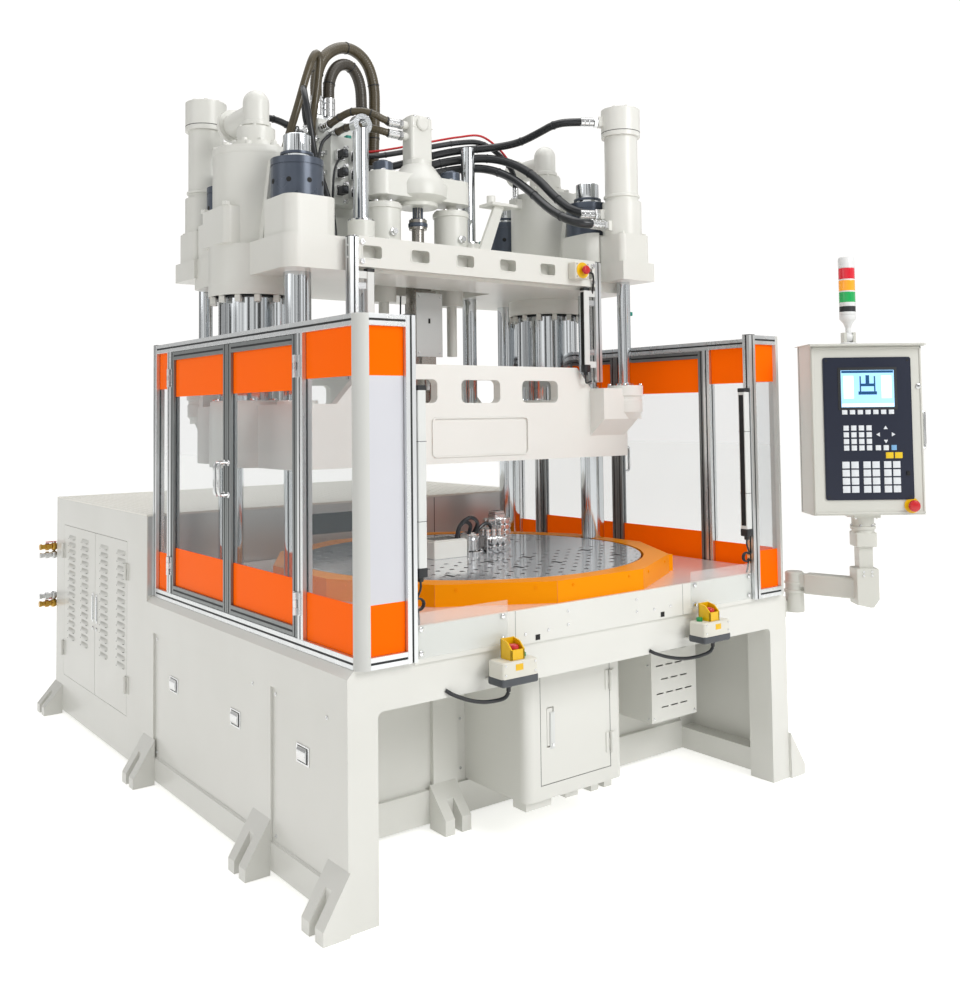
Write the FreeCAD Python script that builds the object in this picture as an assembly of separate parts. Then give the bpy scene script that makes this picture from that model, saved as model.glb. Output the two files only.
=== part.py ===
"""Vertical rotary-table injection moulding machine.

Millimetres, +Z up, X to the right of the operator, Y from the guard's front to the rear.
The pieces are drawn from the floor point under the middle of the guard's front plane, and
are moved together at the end, so that the origin lies on the floor under the middle of the
machine's box, measured without its hoses.
"""
import FreeCAD, Part
import math
import os

V = FreeCAD.Vector
AXES = {"X": V(1, 0, 0), "Y": V(0, 1, 0), "Z": V(0, 0, 1)}

# ---- base frame -------------------------------------------------------------------------
BASE_HALF = 1137.0          # half the base's width
BASE_FRONT = 33.0
BASE_REAR = 1878.0
TABLE_TOP = 827.0
TABLE_THICK = 67.0
TABLE_BEVEL = 24.0
APRON_BOTTOM = 680.0
LEG_WIDTH = 114.0
LEG_DEPTH = 125.0
SHEET = 20.0                # plate that the base is welded from
RAIL_TOP = 120.0            # lower side rails
RAIL_UNDER = 20.0
RAIL_DEPTH = 100.0
CROSS_WALL_Y = 600.0        # inner wall behind the arch
COVER_TOP = 675.0
COVER_RECESS = 10.0
COVER_THICK = 4.0
FRONT_COVER = (140.0, 590.0)
REAR_COVER = (730.0, 1790.0)
FOOT_REACH = 98.0           # how far a foot stands out from the side
FOOT_WIDTH = 145.0
FOOT_TOE = 45.0
FOOT_HEIGHT = 200.0
FOOT_SLOT = 40.0
FOOT_SLOT_DEPTH = 60.0
FEET_Y = (92.0, 665.0, 1840.0)

# ---- deck and turntable -----------------------------------------------------------------
DECK_TOP = 940.0
DECK_THICK = 6.0
DECK_HALF = 1060.0
DECK_REAR = 1860.0
SPLASH_HALF = 884.0
SPLASH_THICK = 12.0
SPLASH_BOTTOM = 815.0
RISER_THICK = 12.0
TURN_Y = 900.0              # the turntable's axis
DISC_RADIUS = 770.0
DISC_TOP = 1020.0
DISC_THICK = 45.0
SKIRT_FLAT = 862.0          # from the axis to the skirt's flats
SKIRT_INNER = 782.0
SKIRT_TOP = 1022.0
SKIRT_LIP = 3.0
SKIRT_SIDES = 12
SPINDLE_RADIUS = 150.0
SPINDLE_FLANGE = 350.0
INDEXER_RADIUS = 230.0
RUNNING_GAP = 0.05          # radial gap of a shaft in its bore
GEARMOTOR_RADIUS = 95.0
GEARMOTOR_BOTTOM = 520.0

# ---- clamp ------------------------------------------------------------------------------
TIE_RADIUS = 57.5
TIE_X = TIE_RADIUS + 772.5   # the bars stand just clear of the turntable
TIE_Y = (966.0, 1637.0)
TIE_BOTTOM = 690.0
TIE_TOP = 2777.0
NUT_RADIUS = 110.0
NUT_BOTTOM = 2550.0
NUT_TOP = 2720.0
PLATEN_FRONT = 800.0
PLATEN_REAR = 1800.0
GUIDE_GAP = 0.3             # radial gap where the platen slides on its bars
TOP_HALF = 960.0
TOP_LOW = 2250.0
TOP_HIGH = 2390.0
PEDESTAL_INNER = 716.0      # the raised seats of the tie bars' nuts
PEDESTAL_OUTER = 948.0
PEDESTAL_INSET = 12.0       # the seats stand this far in from the platen's front and rear
BEAM_HALF = 665.0
BEAM_FRONT = 745.0
BEAM_LOW = 2263.0
BEAM_WINDOWS = (120.0, 360.0, 600.0)
MOVING_HALF = 930.0
MOVING_LOW = 1436.0
MOVING_HIGH = 1700.0
MOVING_CREST = 1870.0
CREST_HALF = 587.0
SHOULDER_HALF = 740.0
CREST_THICK = 50.0
WINDOW_X = 350.0
WINDOW_WIDTH = 220.0
NOZZLE_BORE = 150.0
RAM_X = 850.0
RAM_Y = 1320.0
RAM_RADIUS = 162.5
RAM_TOP = 2560.0
CYLINDER_RADIUS = 188.0
CYLINDER_TOP = 2820.0
RIB_FOOT = 72.0             # half the width of a clamp cylinder's rib at the platen
RIB_CREST = 32.0            # and at its upper end
RIB_REACH = 26.0            # how far it stands out of the cylinder
RIB_TOP = CYLINDER_TOP - 70
GLAND_RADIUS = 205.0
GLAND_BOTTOM = 2172.0
CLAMP_INLET = 2790.0        # top of the small hose inlet beside a clamp cylinder
BOSS_RADIUS = 200.0
QUICK_X = 867.0
QUICK_Y = 755.0
MIDDLE_Y = 1300.0           # the two quick cylinders mirror each other about (0, MIDDLE_Y)
QUICK_RADIUS = 82.5
QUICK_CAP_RADIUS = 97.0
QUICK_TOP = 3170.0
QUICK_CAP_LOW = 3030.0
QUICK_FOOT = 98.0           # half the square foot of a quick cylinder
QUICK_FOOT_TOP = 2530.0
QUICK_COLLAR_TOP = 2700.0
PORT_REACH = 18.0           # how far a hose port stands out of its cylinder
PORT_HALF = 24.0
QUICK_ROD_RADIUS = 32.5
LUG_TOP = 1770.0
LUG_LOW = 1620.0
COLUMN_RADIUS = 36.5
COLUMN_RIGHT = (400.0, 1420.0)
COLUMN_LEFT = (-400.0, 1170.0)
COLUMN_TOP = 3050.0

# ---- injection unit ---------------------------------------------------------------------
INJECT_Y = 1300.0
INJECT_X = 200.0            # the two injection cylinders
INJECT_RADIUS = 85.0
INJECT_ROD = 25.0
INJECT_LOW = 2400.0
INJECT_HIGH = 2668.0
OPENING_HALF = 330.0        # opening in the top platen
OPENING_DEPTH = 150.0
BARREL_RADIUS = 62.0
BARREL_BORE = 32.5
SCREW_RADIUS = 30.0
NOZZLE_TIP = 1500.0
CROSSHEAD_HALF = 280.0
CROSSHEAD_LOW = 2700.0
CROSSHEAD_HIGH = 2815.0
MOTOR_LOW = 2873.0
MOTOR_HIGH = 3112.0

# ---- guards -----------------------------------------------------------------------------
GUARD_HALF = 1110.0
GUARD_TOP = 1988.0
GUARD_REAR = BASE_REAR
GUARD_INNER = 884.0         # inner end of the short front piece
PROFILE = 40.0
CORNER = 60.0
DOOR_FRONT_Y = (430.0, 1040.0)
DOOR_REAR_Y = (1040.0, 1660.0)
DOOR_GAP = 2.0
PANE_THICK = 5.0
HINGE_OUT = 9.0             # a hinge's axis stands this far out of the door's face
HINGE_PIN = 4.0
GUARD_HINGES = (950.0, 1790.0)
LOUVRE_HINGES = (330.0, 870.0)
CABINET_HINGES = (270.0, 520.0)
RAIL_FOOT = 1800.0          # lower end of the upper curtain rails
CURTAIN_WIDTH = 34.0

# ---- power cabinet, control cabinet, vent box -------------------------------------------
POWER_REAR = BASE_REAR + 1484.0
POWER_BOTTOM = 100.0
POWER_TOP = 1197.0
POWER_WALL = 20.0
TREAD_THICK = 5.0
TANK_TOP = 600.0
LOUVRE_SPLIT_Y = BASE_REAR + 772.0
LOUVRE_Y = (BASE_REAR + 272.0, BASE_REAR + 1332.0)
LOUVRE_Z = (220.0, 1055.0)
CABINET_HALF = 262.0
CABINET_FRONT = 200.0
CABINET_BOTTOM = 155.0
CABINET_CORNER = 40.0
CABINET_WALL = 15.0
CABINET_DOOR_HALF = 187.0
CABINET_DOOR_Z = (210.0, 655.0)
VENT_X = (590.0, 885.0)
VENT_FRONT = 350.0
VENT_BOTTOM = 267.0

# ---- push buttons and operator's panel --------------------------------------------------
HAND_X = 520.0
HAND_SIZE = (135.0, 80.0, 110.0)
HAND_TOP = 815.0
HAND_FRONT = -88.0
BEAM_STOP_X = 535.0
BUTTON_STEM = 8.0
BUTTON_TRAVEL = 5.0
ARM_TURRET = (BASE_HALF + 68.0, 30.0)
NECK = (BASE_HALF + 143.0, -280.0)
ARM_LOW = 850.0
ARM_WIDTH = 56.0
NECK_TOP = 1110.0
PANEL_YAW = -37.4           # the panel faces left of straight ahead
PANEL_WIDTH = 484.0
PANEL_DEPTH = 190.0
PANEL_LOW = 1196.0
PANEL_HIGH = 1937.0
LAMP_OFFSET = -40.0
LAMP_RADIUS = 35.0
LAMP_TOP = 2330.0


# ---- shapes -----------------------------------------------------------------------------
def box(x0, x1, y0, y1, z0, z1):
    return Part.makeBox(x1 - x0, y1 - y0, z1 - z0, V(x0, y0, z0))


def rounded(x0, x1, y0, y1, z0, z1, radius, along="Z"):
    """A box whose four edges along one axis are rounded."""
    block = box(x0, x1, y0, y1, z0, z1)
    axis = AXES[along]
    edges = [e for e in block.Edges if abs(e.tangentAt(e.FirstParameter).dot(axis)) > 0.99]
    return block.makeFillet(radius, edges)


def rod(x, y, z, radius, length, along="Z"):
    return Part.makeCylinder(radius, length, V(x, y, z), AXES[along])


def tube(x, y, z, outer, inner, length, along="Z"):
    return rod(x, y, z, outer, length, along).cut(rod(x, y, z, inner, length, along))


def prism(outline, along, low, high):
    """An outline of two coordinates, drawn across one axis and pushed along it."""
    place = {"X": lambda a, b: V(low, a, b), "Y": lambda a, b: V(a, low, b), "Z": lambda a, b: V(a, b, low)}
    points = [place[along](a, b) for a, b in outline]
    face = Part.Face(Part.makePolygon(points + points[:1]))
    return face.extrude(AXES[along] * (high - low))


def fuse(*solids):
    joined = solids[0]
    for solid in solids[1:]:
        joined = joined.fuse(solid)
    return joined.removeSplitter()


def cut(solid, *tools):
    for tool in tools:
        solid = solid.cut(tool)
    return solid


def group(*solids):
    """Separate solids kept in one sub-part."""
    return Part.makeCompound([s for solid in solids for s in solid.Solids])


def mirrored(shape):
    return shape.mirror(V(0, 0, 0), V(1, 0, 0))


def both(shape):
    """The shape and its mirror image on the machine's other side."""
    return group(shape, mirrored(shape))


def half_turned(shape):
    """The shape turned half a turn about the machine's middle."""
    return shape.copy().rotate(V(0, MIDDLE_Y, 0), V(0, 0, 1), 180)


def hose(points, diameter):
    """A tube of straight runs through hand-chosen points, joined by tangent arcs."""
    corners = [V(*p) for p in points]
    edges = []
    start = corners[0]
    for before, corner, after in zip(corners, corners[1:], corners[2:]):
        back = (before - corner)
        ahead = (after - corner)
        run = min(back.Length, ahead.Length)
        turn = math.pi - back.getAngle(ahead)
        setback = 0.45 * run
        radius = setback / math.tan(turn / 2)
        print(f"bend of {math.degrees(turn):.0f} degrees, radius {radius:.0f} mm")
        back.normalize()
        ahead.normalize()
        enter = corner + back * setback
        leave = corner + ahead * setback
        inward = (back + ahead).normalize()
        middle = corner + inward * (radius / math.cos(turn / 2) - radius)
        edges += [Part.LineSegment(start, enter).toShape(), Part.Arc(enter, middle, leave).toShape()]
        start = leave
    edges.append(Part.LineSegment(start, corners[-1]).toShape())
    path = Part.Wire(edges)
    heading = corners[1] - corners[0]
    ring = Part.Wire(Part.makeCircle(diameter / 2, corners[0], heading))
    return path.makePipeShell([ring], True, True)


# ---- base -------------------------------------------------------------------------------
def tie_holes(low, high, gap):
    return [rod(side * TIE_X, y, low, TIE_RADIUS + gap, high - low) for side in (-1, 1) for y in TIE_Y]


def foot(y, z_top=FOOT_HEIGHT):
    """A gusseted foot on the right side, with an open slot for its anchor bolt."""
    wall, outer = BASE_HALF, BASE_HALF + FOOT_REACH
    wedge = [(wall, 0), (outer, 0), (outer, FOOT_TOE), (wall, z_top)]
    slot_end = outer - FOOT_SLOT_DEPTH
    slot_top = z_top - (z_top - FOOT_TOE) * (slot_end - wall) / FOOT_REACH
    behind = [(wall, 0), (slot_end, 0), (slot_end, slot_top), (wall, z_top)]
    half = FOOT_WIDTH / 2
    return group(prism(wedge, "Y", y - half, y - FOOT_SLOT / 2),
                 prism(behind, "Y", y - FOOT_SLOT / 2, y + FOOT_SLOT / 2),
                 prism(wedge, "Y", y + FOOT_SLOT / 2, y + half))


def base_frame():
    slab_low = TABLE_TOP - TABLE_THICK
    bevel = TABLE_BEVEL
    section = [(-BASE_HALF, slab_low), (BASE_HALF, slab_low), (BASE_HALF, TABLE_TOP - bevel),
               (BASE_HALF - bevel, TABLE_TOP), (bevel - BASE_HALF, TABLE_TOP), (-BASE_HALF, TABLE_TOP - bevel)]
    table = prism(section, "Y", BASE_FRONT, BASE_REAR)
    motor_hole = rod(0, TURN_Y, slab_low - 1, GEARMOTOR_RADIUS + 1, TABLE_THICK + 2)
    table = cut(table, motor_hole, *tie_holes(slab_low - 1, TABLE_TOP + 1, RUNNING_GAP))

    inner = BASE_HALF - LEG_WIDTH
    apron = box(-inner, inner, BASE_FRONT, BASE_FRONT + SHEET, APRON_BOTTOM, slab_low)
    leg = box(inner, BASE_HALF, BASE_FRONT, BASE_FRONT + LEG_DEPTH, 0, slab_low)

    rail_in = BASE_HALF - RAIL_DEPTH
    back = BASE_FRONT + LEG_DEPTH
    side = []
    for y0, y1 in ((FRONT_COVER[1], REAR_COVER[0]), (REAR_COVER[1], BASE_REAR - SHEET)):
        side.append(box(rail_in, BASE_HALF, y0, y1, RAIL_TOP, slab_low))
    for y0, y1 in ((back, FRONT_COVER[1]), REAR_COVER):
        side.append(box(BASE_HALF - RAIL_DEPTH / 2, BASE_HALF, y0, y1, COVER_TOP, slab_low))
    side.append(box(rail_in, BASE_HALF, back, BASE_REAR - SHEET, RAIL_UNDER, RAIL_TOP))
    side += [foot(y) for y in FEET_Y]

    wall = box(-rail_in, rail_in, CROSS_WALL_Y, CROSS_WALL_Y + SHEET, RAIL_UNDER, slab_low)
    sill = box(-rail_in, rail_in, CROSS_WALL_Y - SHEET, CROSS_WALL_Y, RAIL_UNDER, 150)
    rear = box(-BASE_HALF, BASE_HALF, BASE_REAR - SHEET, BASE_REAR, RAIL_UNDER, slab_low)
    post = box(310, 430, CROSS_WALL_Y - SHEET, CROSS_WALL_Y, 150, slab_low)
    inner_foot = prism([(CROSS_WALL_Y - SHEET, 0), (CROSS_WALL_Y - SHEET, 170), (470, 60), (470, 0)],
                       "X", 325, 450)
    anchor = box(370, 405, 460, 530, -1, 200)
    return group(table, apron, both(leg), *[both(s) for s in side], wall, sill, rear,
                 both(post), both(inner_foot.cut(anchor)), deck_risers())


def side_covers():
    """Four screwed-on panels, set back in the sides of the base."""
    face = BASE_HALF - COVER_RECESS
    panels = [box(face - COVER_THICK, face, y0, y1, RAIL_TOP, COVER_TOP)
              for y0, y1 in ((BASE_FRONT + LEG_DEPTH, FRONT_COVER[1]), REAR_COVER)]
    return both(group(*panels))


def deck_plate():
    plate = box(-DECK_HALF, DECK_HALF, BASE_FRONT, DECK_REAR, DECK_TOP - DECK_THICK, DECK_TOP)
    middle = rod(0, TURN_Y, DECK_TOP - 20, INDEXER_RADIUS + 10, 40)
    guard = both(group(box(SPLASH_HALF, DECK_HALF + 1, 0, PROFILE, DECK_TOP - 20, DECK_TOP + 20),
                       box(GUARD_HALF - CORNER, DECK_HALF + 1, 0, CORNER, DECK_TOP - 20, DECK_TOP + 20)))
    return cut(plate, middle, guard, *tie_holes(DECK_TOP - 20, DECK_TOP + 20, 1.0))


def deck_risers():
    """The splash plate across the front, and the upright strips that carry the deck."""
    top = DECK_TOP - DECK_THICK
    front = box(-SPLASH_HALF, SPLASH_HALF, BASE_FRONT - SPLASH_THICK, BASE_FRONT, SPLASH_BOTTOM, DECK_TOP)
    side = box(DECK_HALF - 60, DECK_HALF - 60 + RISER_THICK, BASE_FRONT + RISER_THICK, DECK_REAR - RISER_THICK,
               TABLE_TOP, top)
    back = box(60 - DECK_HALF, DECK_HALF - 60, DECK_REAR - RISER_THICK, DECK_REAR, TABLE_TOP, top)
    lip = box(-SPLASH_HALF, SPLASH_HALF, BASE_FRONT, BASE_FRONT + RISER_THICK, TABLE_TOP, top)
    return group(front, both(side), back, lip)


# ---- turntable --------------------------------------------------------------------------
def turntable_disc():
    disc = rod(0, TURN_Y, DISC_TOP - DISC_THICK, DISC_RADIUS, DISC_THICK)
    for side_y in (-1, 1):
        for x in (-210, 210):
            for y in (330, 610):
                disc = disc.cut(rod(x, TURN_Y + side_y * y, DISC_TOP - 30, 7, 31))
    return disc


def turntable_spindle():
    flange_top = DISC_TOP - DISC_THICK
    shaft = rod(0, TURN_Y, TABLE_TOP + 10, SPINDLE_RADIUS, DECK_TOP + 5 - TABLE_TOP - 10)
    flange = rod(0, TURN_Y, DECK_TOP + 5, SPINDLE_FLANGE, flange_top - DECK_TOP - 5)
    return fuse(shaft, flange)


def rotary_indexer():
    housing = rod(0, TURN_Y, TABLE_TOP, INDEXER_RADIUS, DECK_TOP - 2 - TABLE_TOP)
    bore = rod(0, TURN_Y, TABLE_TOP + 9, SPINDLE_RADIUS + RUNNING_GAP, 200)
    motor = rod(0, TURN_Y, GEARMOTOR_BOTTOM, GEARMOTOR_RADIUS, TABLE_TOP - GEARMOTOR_BOTTOM)
    return fuse(housing.cut(bore), motor)


def turntable_skirt():
    corner = SKIRT_FLAT / math.cos(math.pi / SKIRT_SIDES)
    turn = 2 * math.pi / SKIRT_SIDES
    outline = [(corner * math.cos((k + 0.5) * turn), TURN_Y + corner * math.sin((k + 0.5) * turn))
               for k in range(SKIRT_SIDES)]
    ring = prism(outline, "Z", DECK_TOP, SKIRT_TOP)
    ring = cut(ring, rod(0, TURN_Y, DECK_TOP - 1, SKIRT_INNER, 100),
               *tie_holes(DECK_TOP - 1, SKIRT_TOP + 1, 4.0))
    hollow = 12.0
    inside = [(x * (1 - hollow / corner), TURN_Y + (y - TURN_Y) * (1 - hollow / corner)) for x, y in outline]
    under = prism(inside, "Z", DECK_TOP - 1, SKIRT_TOP - SKIRT_LIP)
    under = under.cut(rod(0, TURN_Y, DECK_TOP - 2, SKIRT_INNER + hollow, 100))
    keep = [rod(side * TIE_X, TIE_Y[0], DECK_TOP - 2, TIE_RADIUS + 16, 100) for side in (-1, 1)]
    under = cut(under, *keep)
    lug = box(600, 690, 300, 372, DECK_TOP, SKIRT_TOP - 10)
    lug = lug.cut(prism(outline, "Z", DECK_TOP - 1, SKIRT_TOP + 1))
    return group(ring.cut(under), lug)


def water_manifold():
    """Rotary union at the disc's centre, its valve box, and the upright water column."""
    union = fuse(rod(0, TURN_Y, DISC_TOP, 62, 14), rod(0, TURN_Y, DISC_TOP + 14, 45, 76))
    column = rounded(205, 265, 970, 1030, DISC_TOP, DISC_TOP + 155, 6)
    block = rounded(70, 175, 860, 960, DISC_TOP, DISC_TOP + 70, 6)
    valve_box = rounded(-250, -75, 820, 960, DISC_TOP, DISC_TOP + 75, 4)
    return group(union, column, block, valve_box)


# ---- clamp ------------------------------------------------------------------------------
def tie_bars():
    return group(*tie_holes(TIE_BOTTOM, TIE_TOP, 0))


def tie_bar_nuts():
    upper = tube(TIE_X, TIE_Y[0], NUT_BOTTOM, NUT_RADIUS, TIE_RADIUS + RUNNING_GAP, NUT_TOP - NUT_BOTTOM)
    groove = tube(TIE_X, TIE_Y[0], NUT_TOP - 34, NUT_RADIUS + 1, NUT_RADIUS - 3, 6)
    lower = tube(TIE_X, TIE_Y[0], TIE_BOTTOM, NUT_RADIUS - 20, TIE_RADIUS + RUNNING_GAP,
                 TABLE_TOP - TABLE_THICK - TIE_BOTTOM)
    pair = group(upper.cut(groove), lower)
    rear = pair.copy()
    rear.translate(V(0, TIE_Y[1] - TIE_Y[0], 0))
    return group(both(pair), both(rear))


def top_platen():
    slab = rounded(-TOP_HALF, TOP_HALF, PLATEN_FRONT, PLATEN_REAR, TOP_LOW, TOP_HIGH, 60)
    beam = box(-BEAM_HALF, BEAM_HALF, BEAM_FRONT, PLATEN_FRONT, BEAM_LOW, TOP_HIGH)
    for x in BEAM_WINDOWS:
        for side in (-1, 1):
            beam = beam.cut(rounded(side * x - 50, side * x + 50, BEAM_FRONT - 1, PLATEN_FRONT + 1,
                                    BEAM_LOW + 34, BEAM_LOW + 94, 16, "Y"))
    parts = [slab, beam]
    for side in (-1, 1):
        parts.append(rod(side * RAM_X, RAM_Y, TOP_LOW, GLAND_RADIUS, TOP_HIGH - TOP_LOW))
        low, high = sorted((side * PEDESTAL_INNER, side * PEDESTAL_OUTER))
        parts.append(rounded(low, high, PLATEN_FRONT + PEDESTAL_INSET, 1075, TOP_HIGH, NUT_BOTTOM, 55))
        parts.append(rounded(low, high, 1530, PLATEN_REAR - PEDESTAL_INSET, TOP_HIGH, NUT_BOTTOM, 55))
    corner = box(760, 975, QUICK_Y - QUICK_FOOT - 12, PLATEN_FRONT + 80, TOP_HIGH - 90, TOP_HIGH)
    parts += [corner, half_turned(corner)]
    platen = fuse(*parts)
    seat = box(QUICK_X - QUICK_FOOT - 6, TOP_HALF + 1, PLATEN_FRONT - 1, QUICK_Y + QUICK_FOOT + 6,
               TOP_HIGH, 2600)
    platen = cut(platen, seat, half_turned(seat))
    holes = tie_holes(TOP_LOW - 1, NUT_BOTTOM + 1, RUNNING_GAP)
    for side in (-1, 1):
        holes.append(rod(side * RAM_X, RAM_Y, TOP_LOW - 1, RAM_RADIUS + 4, 400))
    quick = rod(QUICK_X, QUICK_Y, TOP_LOW - 1, QUICK_ROD_RADIUS + 2, 400)
    holes += [quick, half_turned(quick)]
    holes.append(box(-OPENING_HALF, OPENING_HALF, INJECT_Y - OPENING_DEPTH, INJECT_Y + OPENING_DEPTH,
                     TOP_LOW - 1, TOP_HIGH + 1))
    for x, y in (COLUMN_RIGHT, COLUMN_LEFT):
        holes.append(rod(x, y, TOP_LOW - 1, COLUMN_RADIUS + GUIDE_GAP, 300))
    return cut(platen, *holes)


def platen_fittings():
    """Guide bushes round the injection unit's columns, and a slanting stay, all on the top platen."""
    bushes = [tube(x, y, TOP_HIGH, 62, COLUMN_RADIUS + GUIDE_GAP, 150) for x, y in (COLUMN_RIGHT, COLUMN_LEFT)]
    strut = prism([(215, TOP_HIGH), (285, TOP_HIGH), (400, 2690), (345, 2690)], "Y", 1120, 1140)
    shelf = box(310, 470, 1095, 1205, 2690, 2704)
    knob = rod(350, 1160, 2704, 22, 42)
    return group(*bushes, fuse(strut, shelf, knob))


def moving_platen():
    body = rounded(-MOVING_HALF, MOVING_HALF, PLATEN_FRONT, PLATEN_REAR, MOVING_LOW, MOVING_HIGH, 12)
    crest = [(-SHOULDER_HALF, MOVING_HIGH), (SHOULDER_HALF, MOVING_HIGH), (CREST_HALF, MOVING_CREST),
             (-CREST_HALF, MOVING_CREST)]
    front = prism(crest, "Y", PLATEN_FRONT, PLATEN_FRONT + CREST_THICK)
    rear = prism(crest, "Y", PLATEN_REAR - CREST_THICK, PLATEN_REAR)
    for x in (-WINDOW_X, 0, WINDOW_X):
        window = rounded(x - WINDOW_WIDTH / 2, x + WINDOW_WIDTH / 2, PLATEN_FRONT - 1, PLATEN_REAR + 1,
                         MOVING_HIGH + 2, MOVING_HIGH + 105, 25, "Y")
        front = front.cut(window)
        rear = rear.cut(window)
    bosses = [rod(side * RAM_X, RAM_Y, MOVING_LOW, BOSS_RADIUS, MOVING_HIGH - MOVING_LOW) for side in (-1, 1)]
    lug_front = QUICK_Y - 52
    lug = box(670, 925, lug_front, PLATEN_FRONT + 62, LUG_LOW, LUG_TOP)
    web = prism([(lug_front, LUG_LOW), (PLATEN_FRONT, LUG_LOW), (PLATEN_FRONT, LUG_LOW - 80)], "X", 670, 900)
    platen = fuse(body, front, rear, *bosses, lug, web, half_turned(lug), half_turned(web))
    plate = rounded(-270, 270, PLATEN_FRONT - 1, PLATEN_FRONT + 3, 1465, 1637, 22, "Y")
    holes = tie_holes(MOVING_LOW - 1, MOVING_CREST + 1, GUIDE_GAP)
    holes.append(rod(0, INJECT_Y, MOVING_LOW - 1, NOZZLE_BORE, 300))
    holes.append(plate)
    for x in (-210, 210):
        for y in (900, 1200):
            holes.append(rod(x, y, MOVING_LOW - 1, 7, 31))
    return cut(platen, *holes)


def clamp_rams():
    ram = rod(RAM_X, RAM_Y, MOVING_HIGH, RAM_RADIUS, RAM_TOP - MOVING_HIGH)
    return both(ram)


def platen_rods():
    """The quick cylinders' rods and the injection unit's guide columns, all fixed in the moving platen."""
    quick = rod(QUICK_X, QUICK_Y, LUG_TOP, QUICK_ROD_RADIUS, 2960 - LUG_TOP)
    right = rod(*COLUMN_RIGHT, MOVING_HIGH, COLUMN_RADIUS, COLUMN_TOP - MOVING_HIGH)
    left = rod(*COLUMN_LEFT, MOVING_HIGH, COLUMN_RADIUS, COLUMN_TOP - 80 - MOVING_HIGH)
    eye = rod(COLUMN_LEFT[0], COLUMN_LEFT[1] - 22, COLUMN_TOP - 60, 48, 44, "Y")
    eye = eye.cut(rod(COLUMN_LEFT[0], COLUMN_LEFT[1] - 23, COLUMN_TOP - 60, 24, 46, "Y"))
    return group(quick, half_turned(quick), right, fuse(left, eye))


def clamp_cylinders():
    """Each cylinder with its gland ring below the platen, its feed flanges and its domed pipe."""
    body = rod(RAM_X, RAM_Y, TOP_HIGH, CYLINDER_RADIUS, CYLINDER_TOP - TOP_HIGH)
    saddle = rounded(780, 1055, 1190, 1450, TOP_HIGH, TOP_HIGH + 160, 30)
    rib = prism([(RAM_X - RIB_FOOT, TOP_HIGH), (RAM_X + RIB_FOOT, TOP_HIGH), (RAM_X + RIB_CREST, RIB_TOP),
                 (RAM_X - RIB_CREST, RIB_TOP)], "Y", RAM_Y - CYLINDER_RADIUS - RIB_REACH, RAM_Y)
    inlet = box(618, 700, RAM_Y - 26, RAM_Y + 26, 2740, CLAMP_INLET)
    body = fuse(body, saddle, rib, inlet)
    body = body.cut(rod(RAM_X, RAM_Y, TOP_HIGH - 1, RAM_RADIUS + 4, CYLINDER_TOP - 60 - TOP_HIGH))
    flange = fuse(rod(RAM_X, RAM_Y, CYLINDER_TOP, 104, 40), rod(RAM_X, RAM_Y, CYLINDER_TOP + 40, 84, 70),
                  rod(RAM_X, RAM_Y, CYLINDER_TOP + 110, 58, 118), Part.makeSphere(58, V(RAM_X, RAM_Y, 3048)),
                  rod(RAM_X, RAM_Y, 3000, 55, 260, "Y"))
    gland = tube(RAM_X, RAM_Y, GLAND_BOTTOM, GLAND_RADIUS, RAM_RADIUS + GUIDE_GAP, TOP_LOW - GLAND_BOTTOM)
    return both(group(body, flange, gland))


def port(x, y, z, radius, angle):
    """A square hose port on an upright cylinder, facing outwards at an angle from +X."""
    block = box(0, radius + PORT_REACH, -PORT_HALF, PORT_HALF, z - PORT_HALF, z + PORT_HALF)
    block.rotate(V(0, 0, 0), V(0, 0, 1), angle)
    block.translate(V(x, y, 0))
    return block


def into_port(x, y, z, radius, angle, run=100.0):
    """A hose's last two points, arriving square on a port's face."""
    across = [(radius + PORT_REACH + out) for out in (run, 0)]
    turn = math.radians(angle)
    return [(x + a * math.cos(turn), y + a * math.sin(turn), z) for a in across]


RIGHT_CAP_PORT = (QUICK_X, QUICK_Y, 3110, QUICK_CAP_RADIUS, 150)
LEFT_CAP_PORT = (-QUICK_X, 2 * MIDDLE_Y - QUICK_Y, 3110, QUICK_CAP_RADIUS, -30)
UPPER_BASE_PORT = (QUICK_X, QUICK_Y, 2640, QUICK_CAP_RADIUS, 150)
LOWER_BASE_PORT = (QUICK_X, QUICK_Y, 2575, QUICK_CAP_RADIUS, 180)


def quick_cylinders():
    x, y = QUICK_X, QUICK_Y
    foot_block = rounded(x - QUICK_FOOT, x + QUICK_FOOT, y - QUICK_FOOT, y + QUICK_FOOT,
                         TOP_HIGH, QUICK_FOOT_TOP, 30)
    barrel = fuse(foot_block, rod(x, y, QUICK_FOOT_TOP, QUICK_CAP_RADIUS, QUICK_COLLAR_TOP - QUICK_FOOT_TOP),
                  rod(x, y, QUICK_COLLAR_TOP, QUICK_RADIUS, QUICK_CAP_LOW - QUICK_COLLAR_TOP),
                  rod(x, y, QUICK_CAP_LOW, QUICK_CAP_RADIUS, QUICK_TOP - QUICK_CAP_LOW),
                  port(*RIGHT_CAP_PORT), port(*UPPER_BASE_PORT), port(*LOWER_BASE_PORT))
    bore = rod(x, y, TOP_HIGH - 1, QUICK_ROD_RADIUS + GUIDE_GAP, QUICK_CAP_LOW - TOP_HIGH)
    barrel = barrel.cut(bore)
    return group(barrel, half_turned(barrel))


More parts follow.
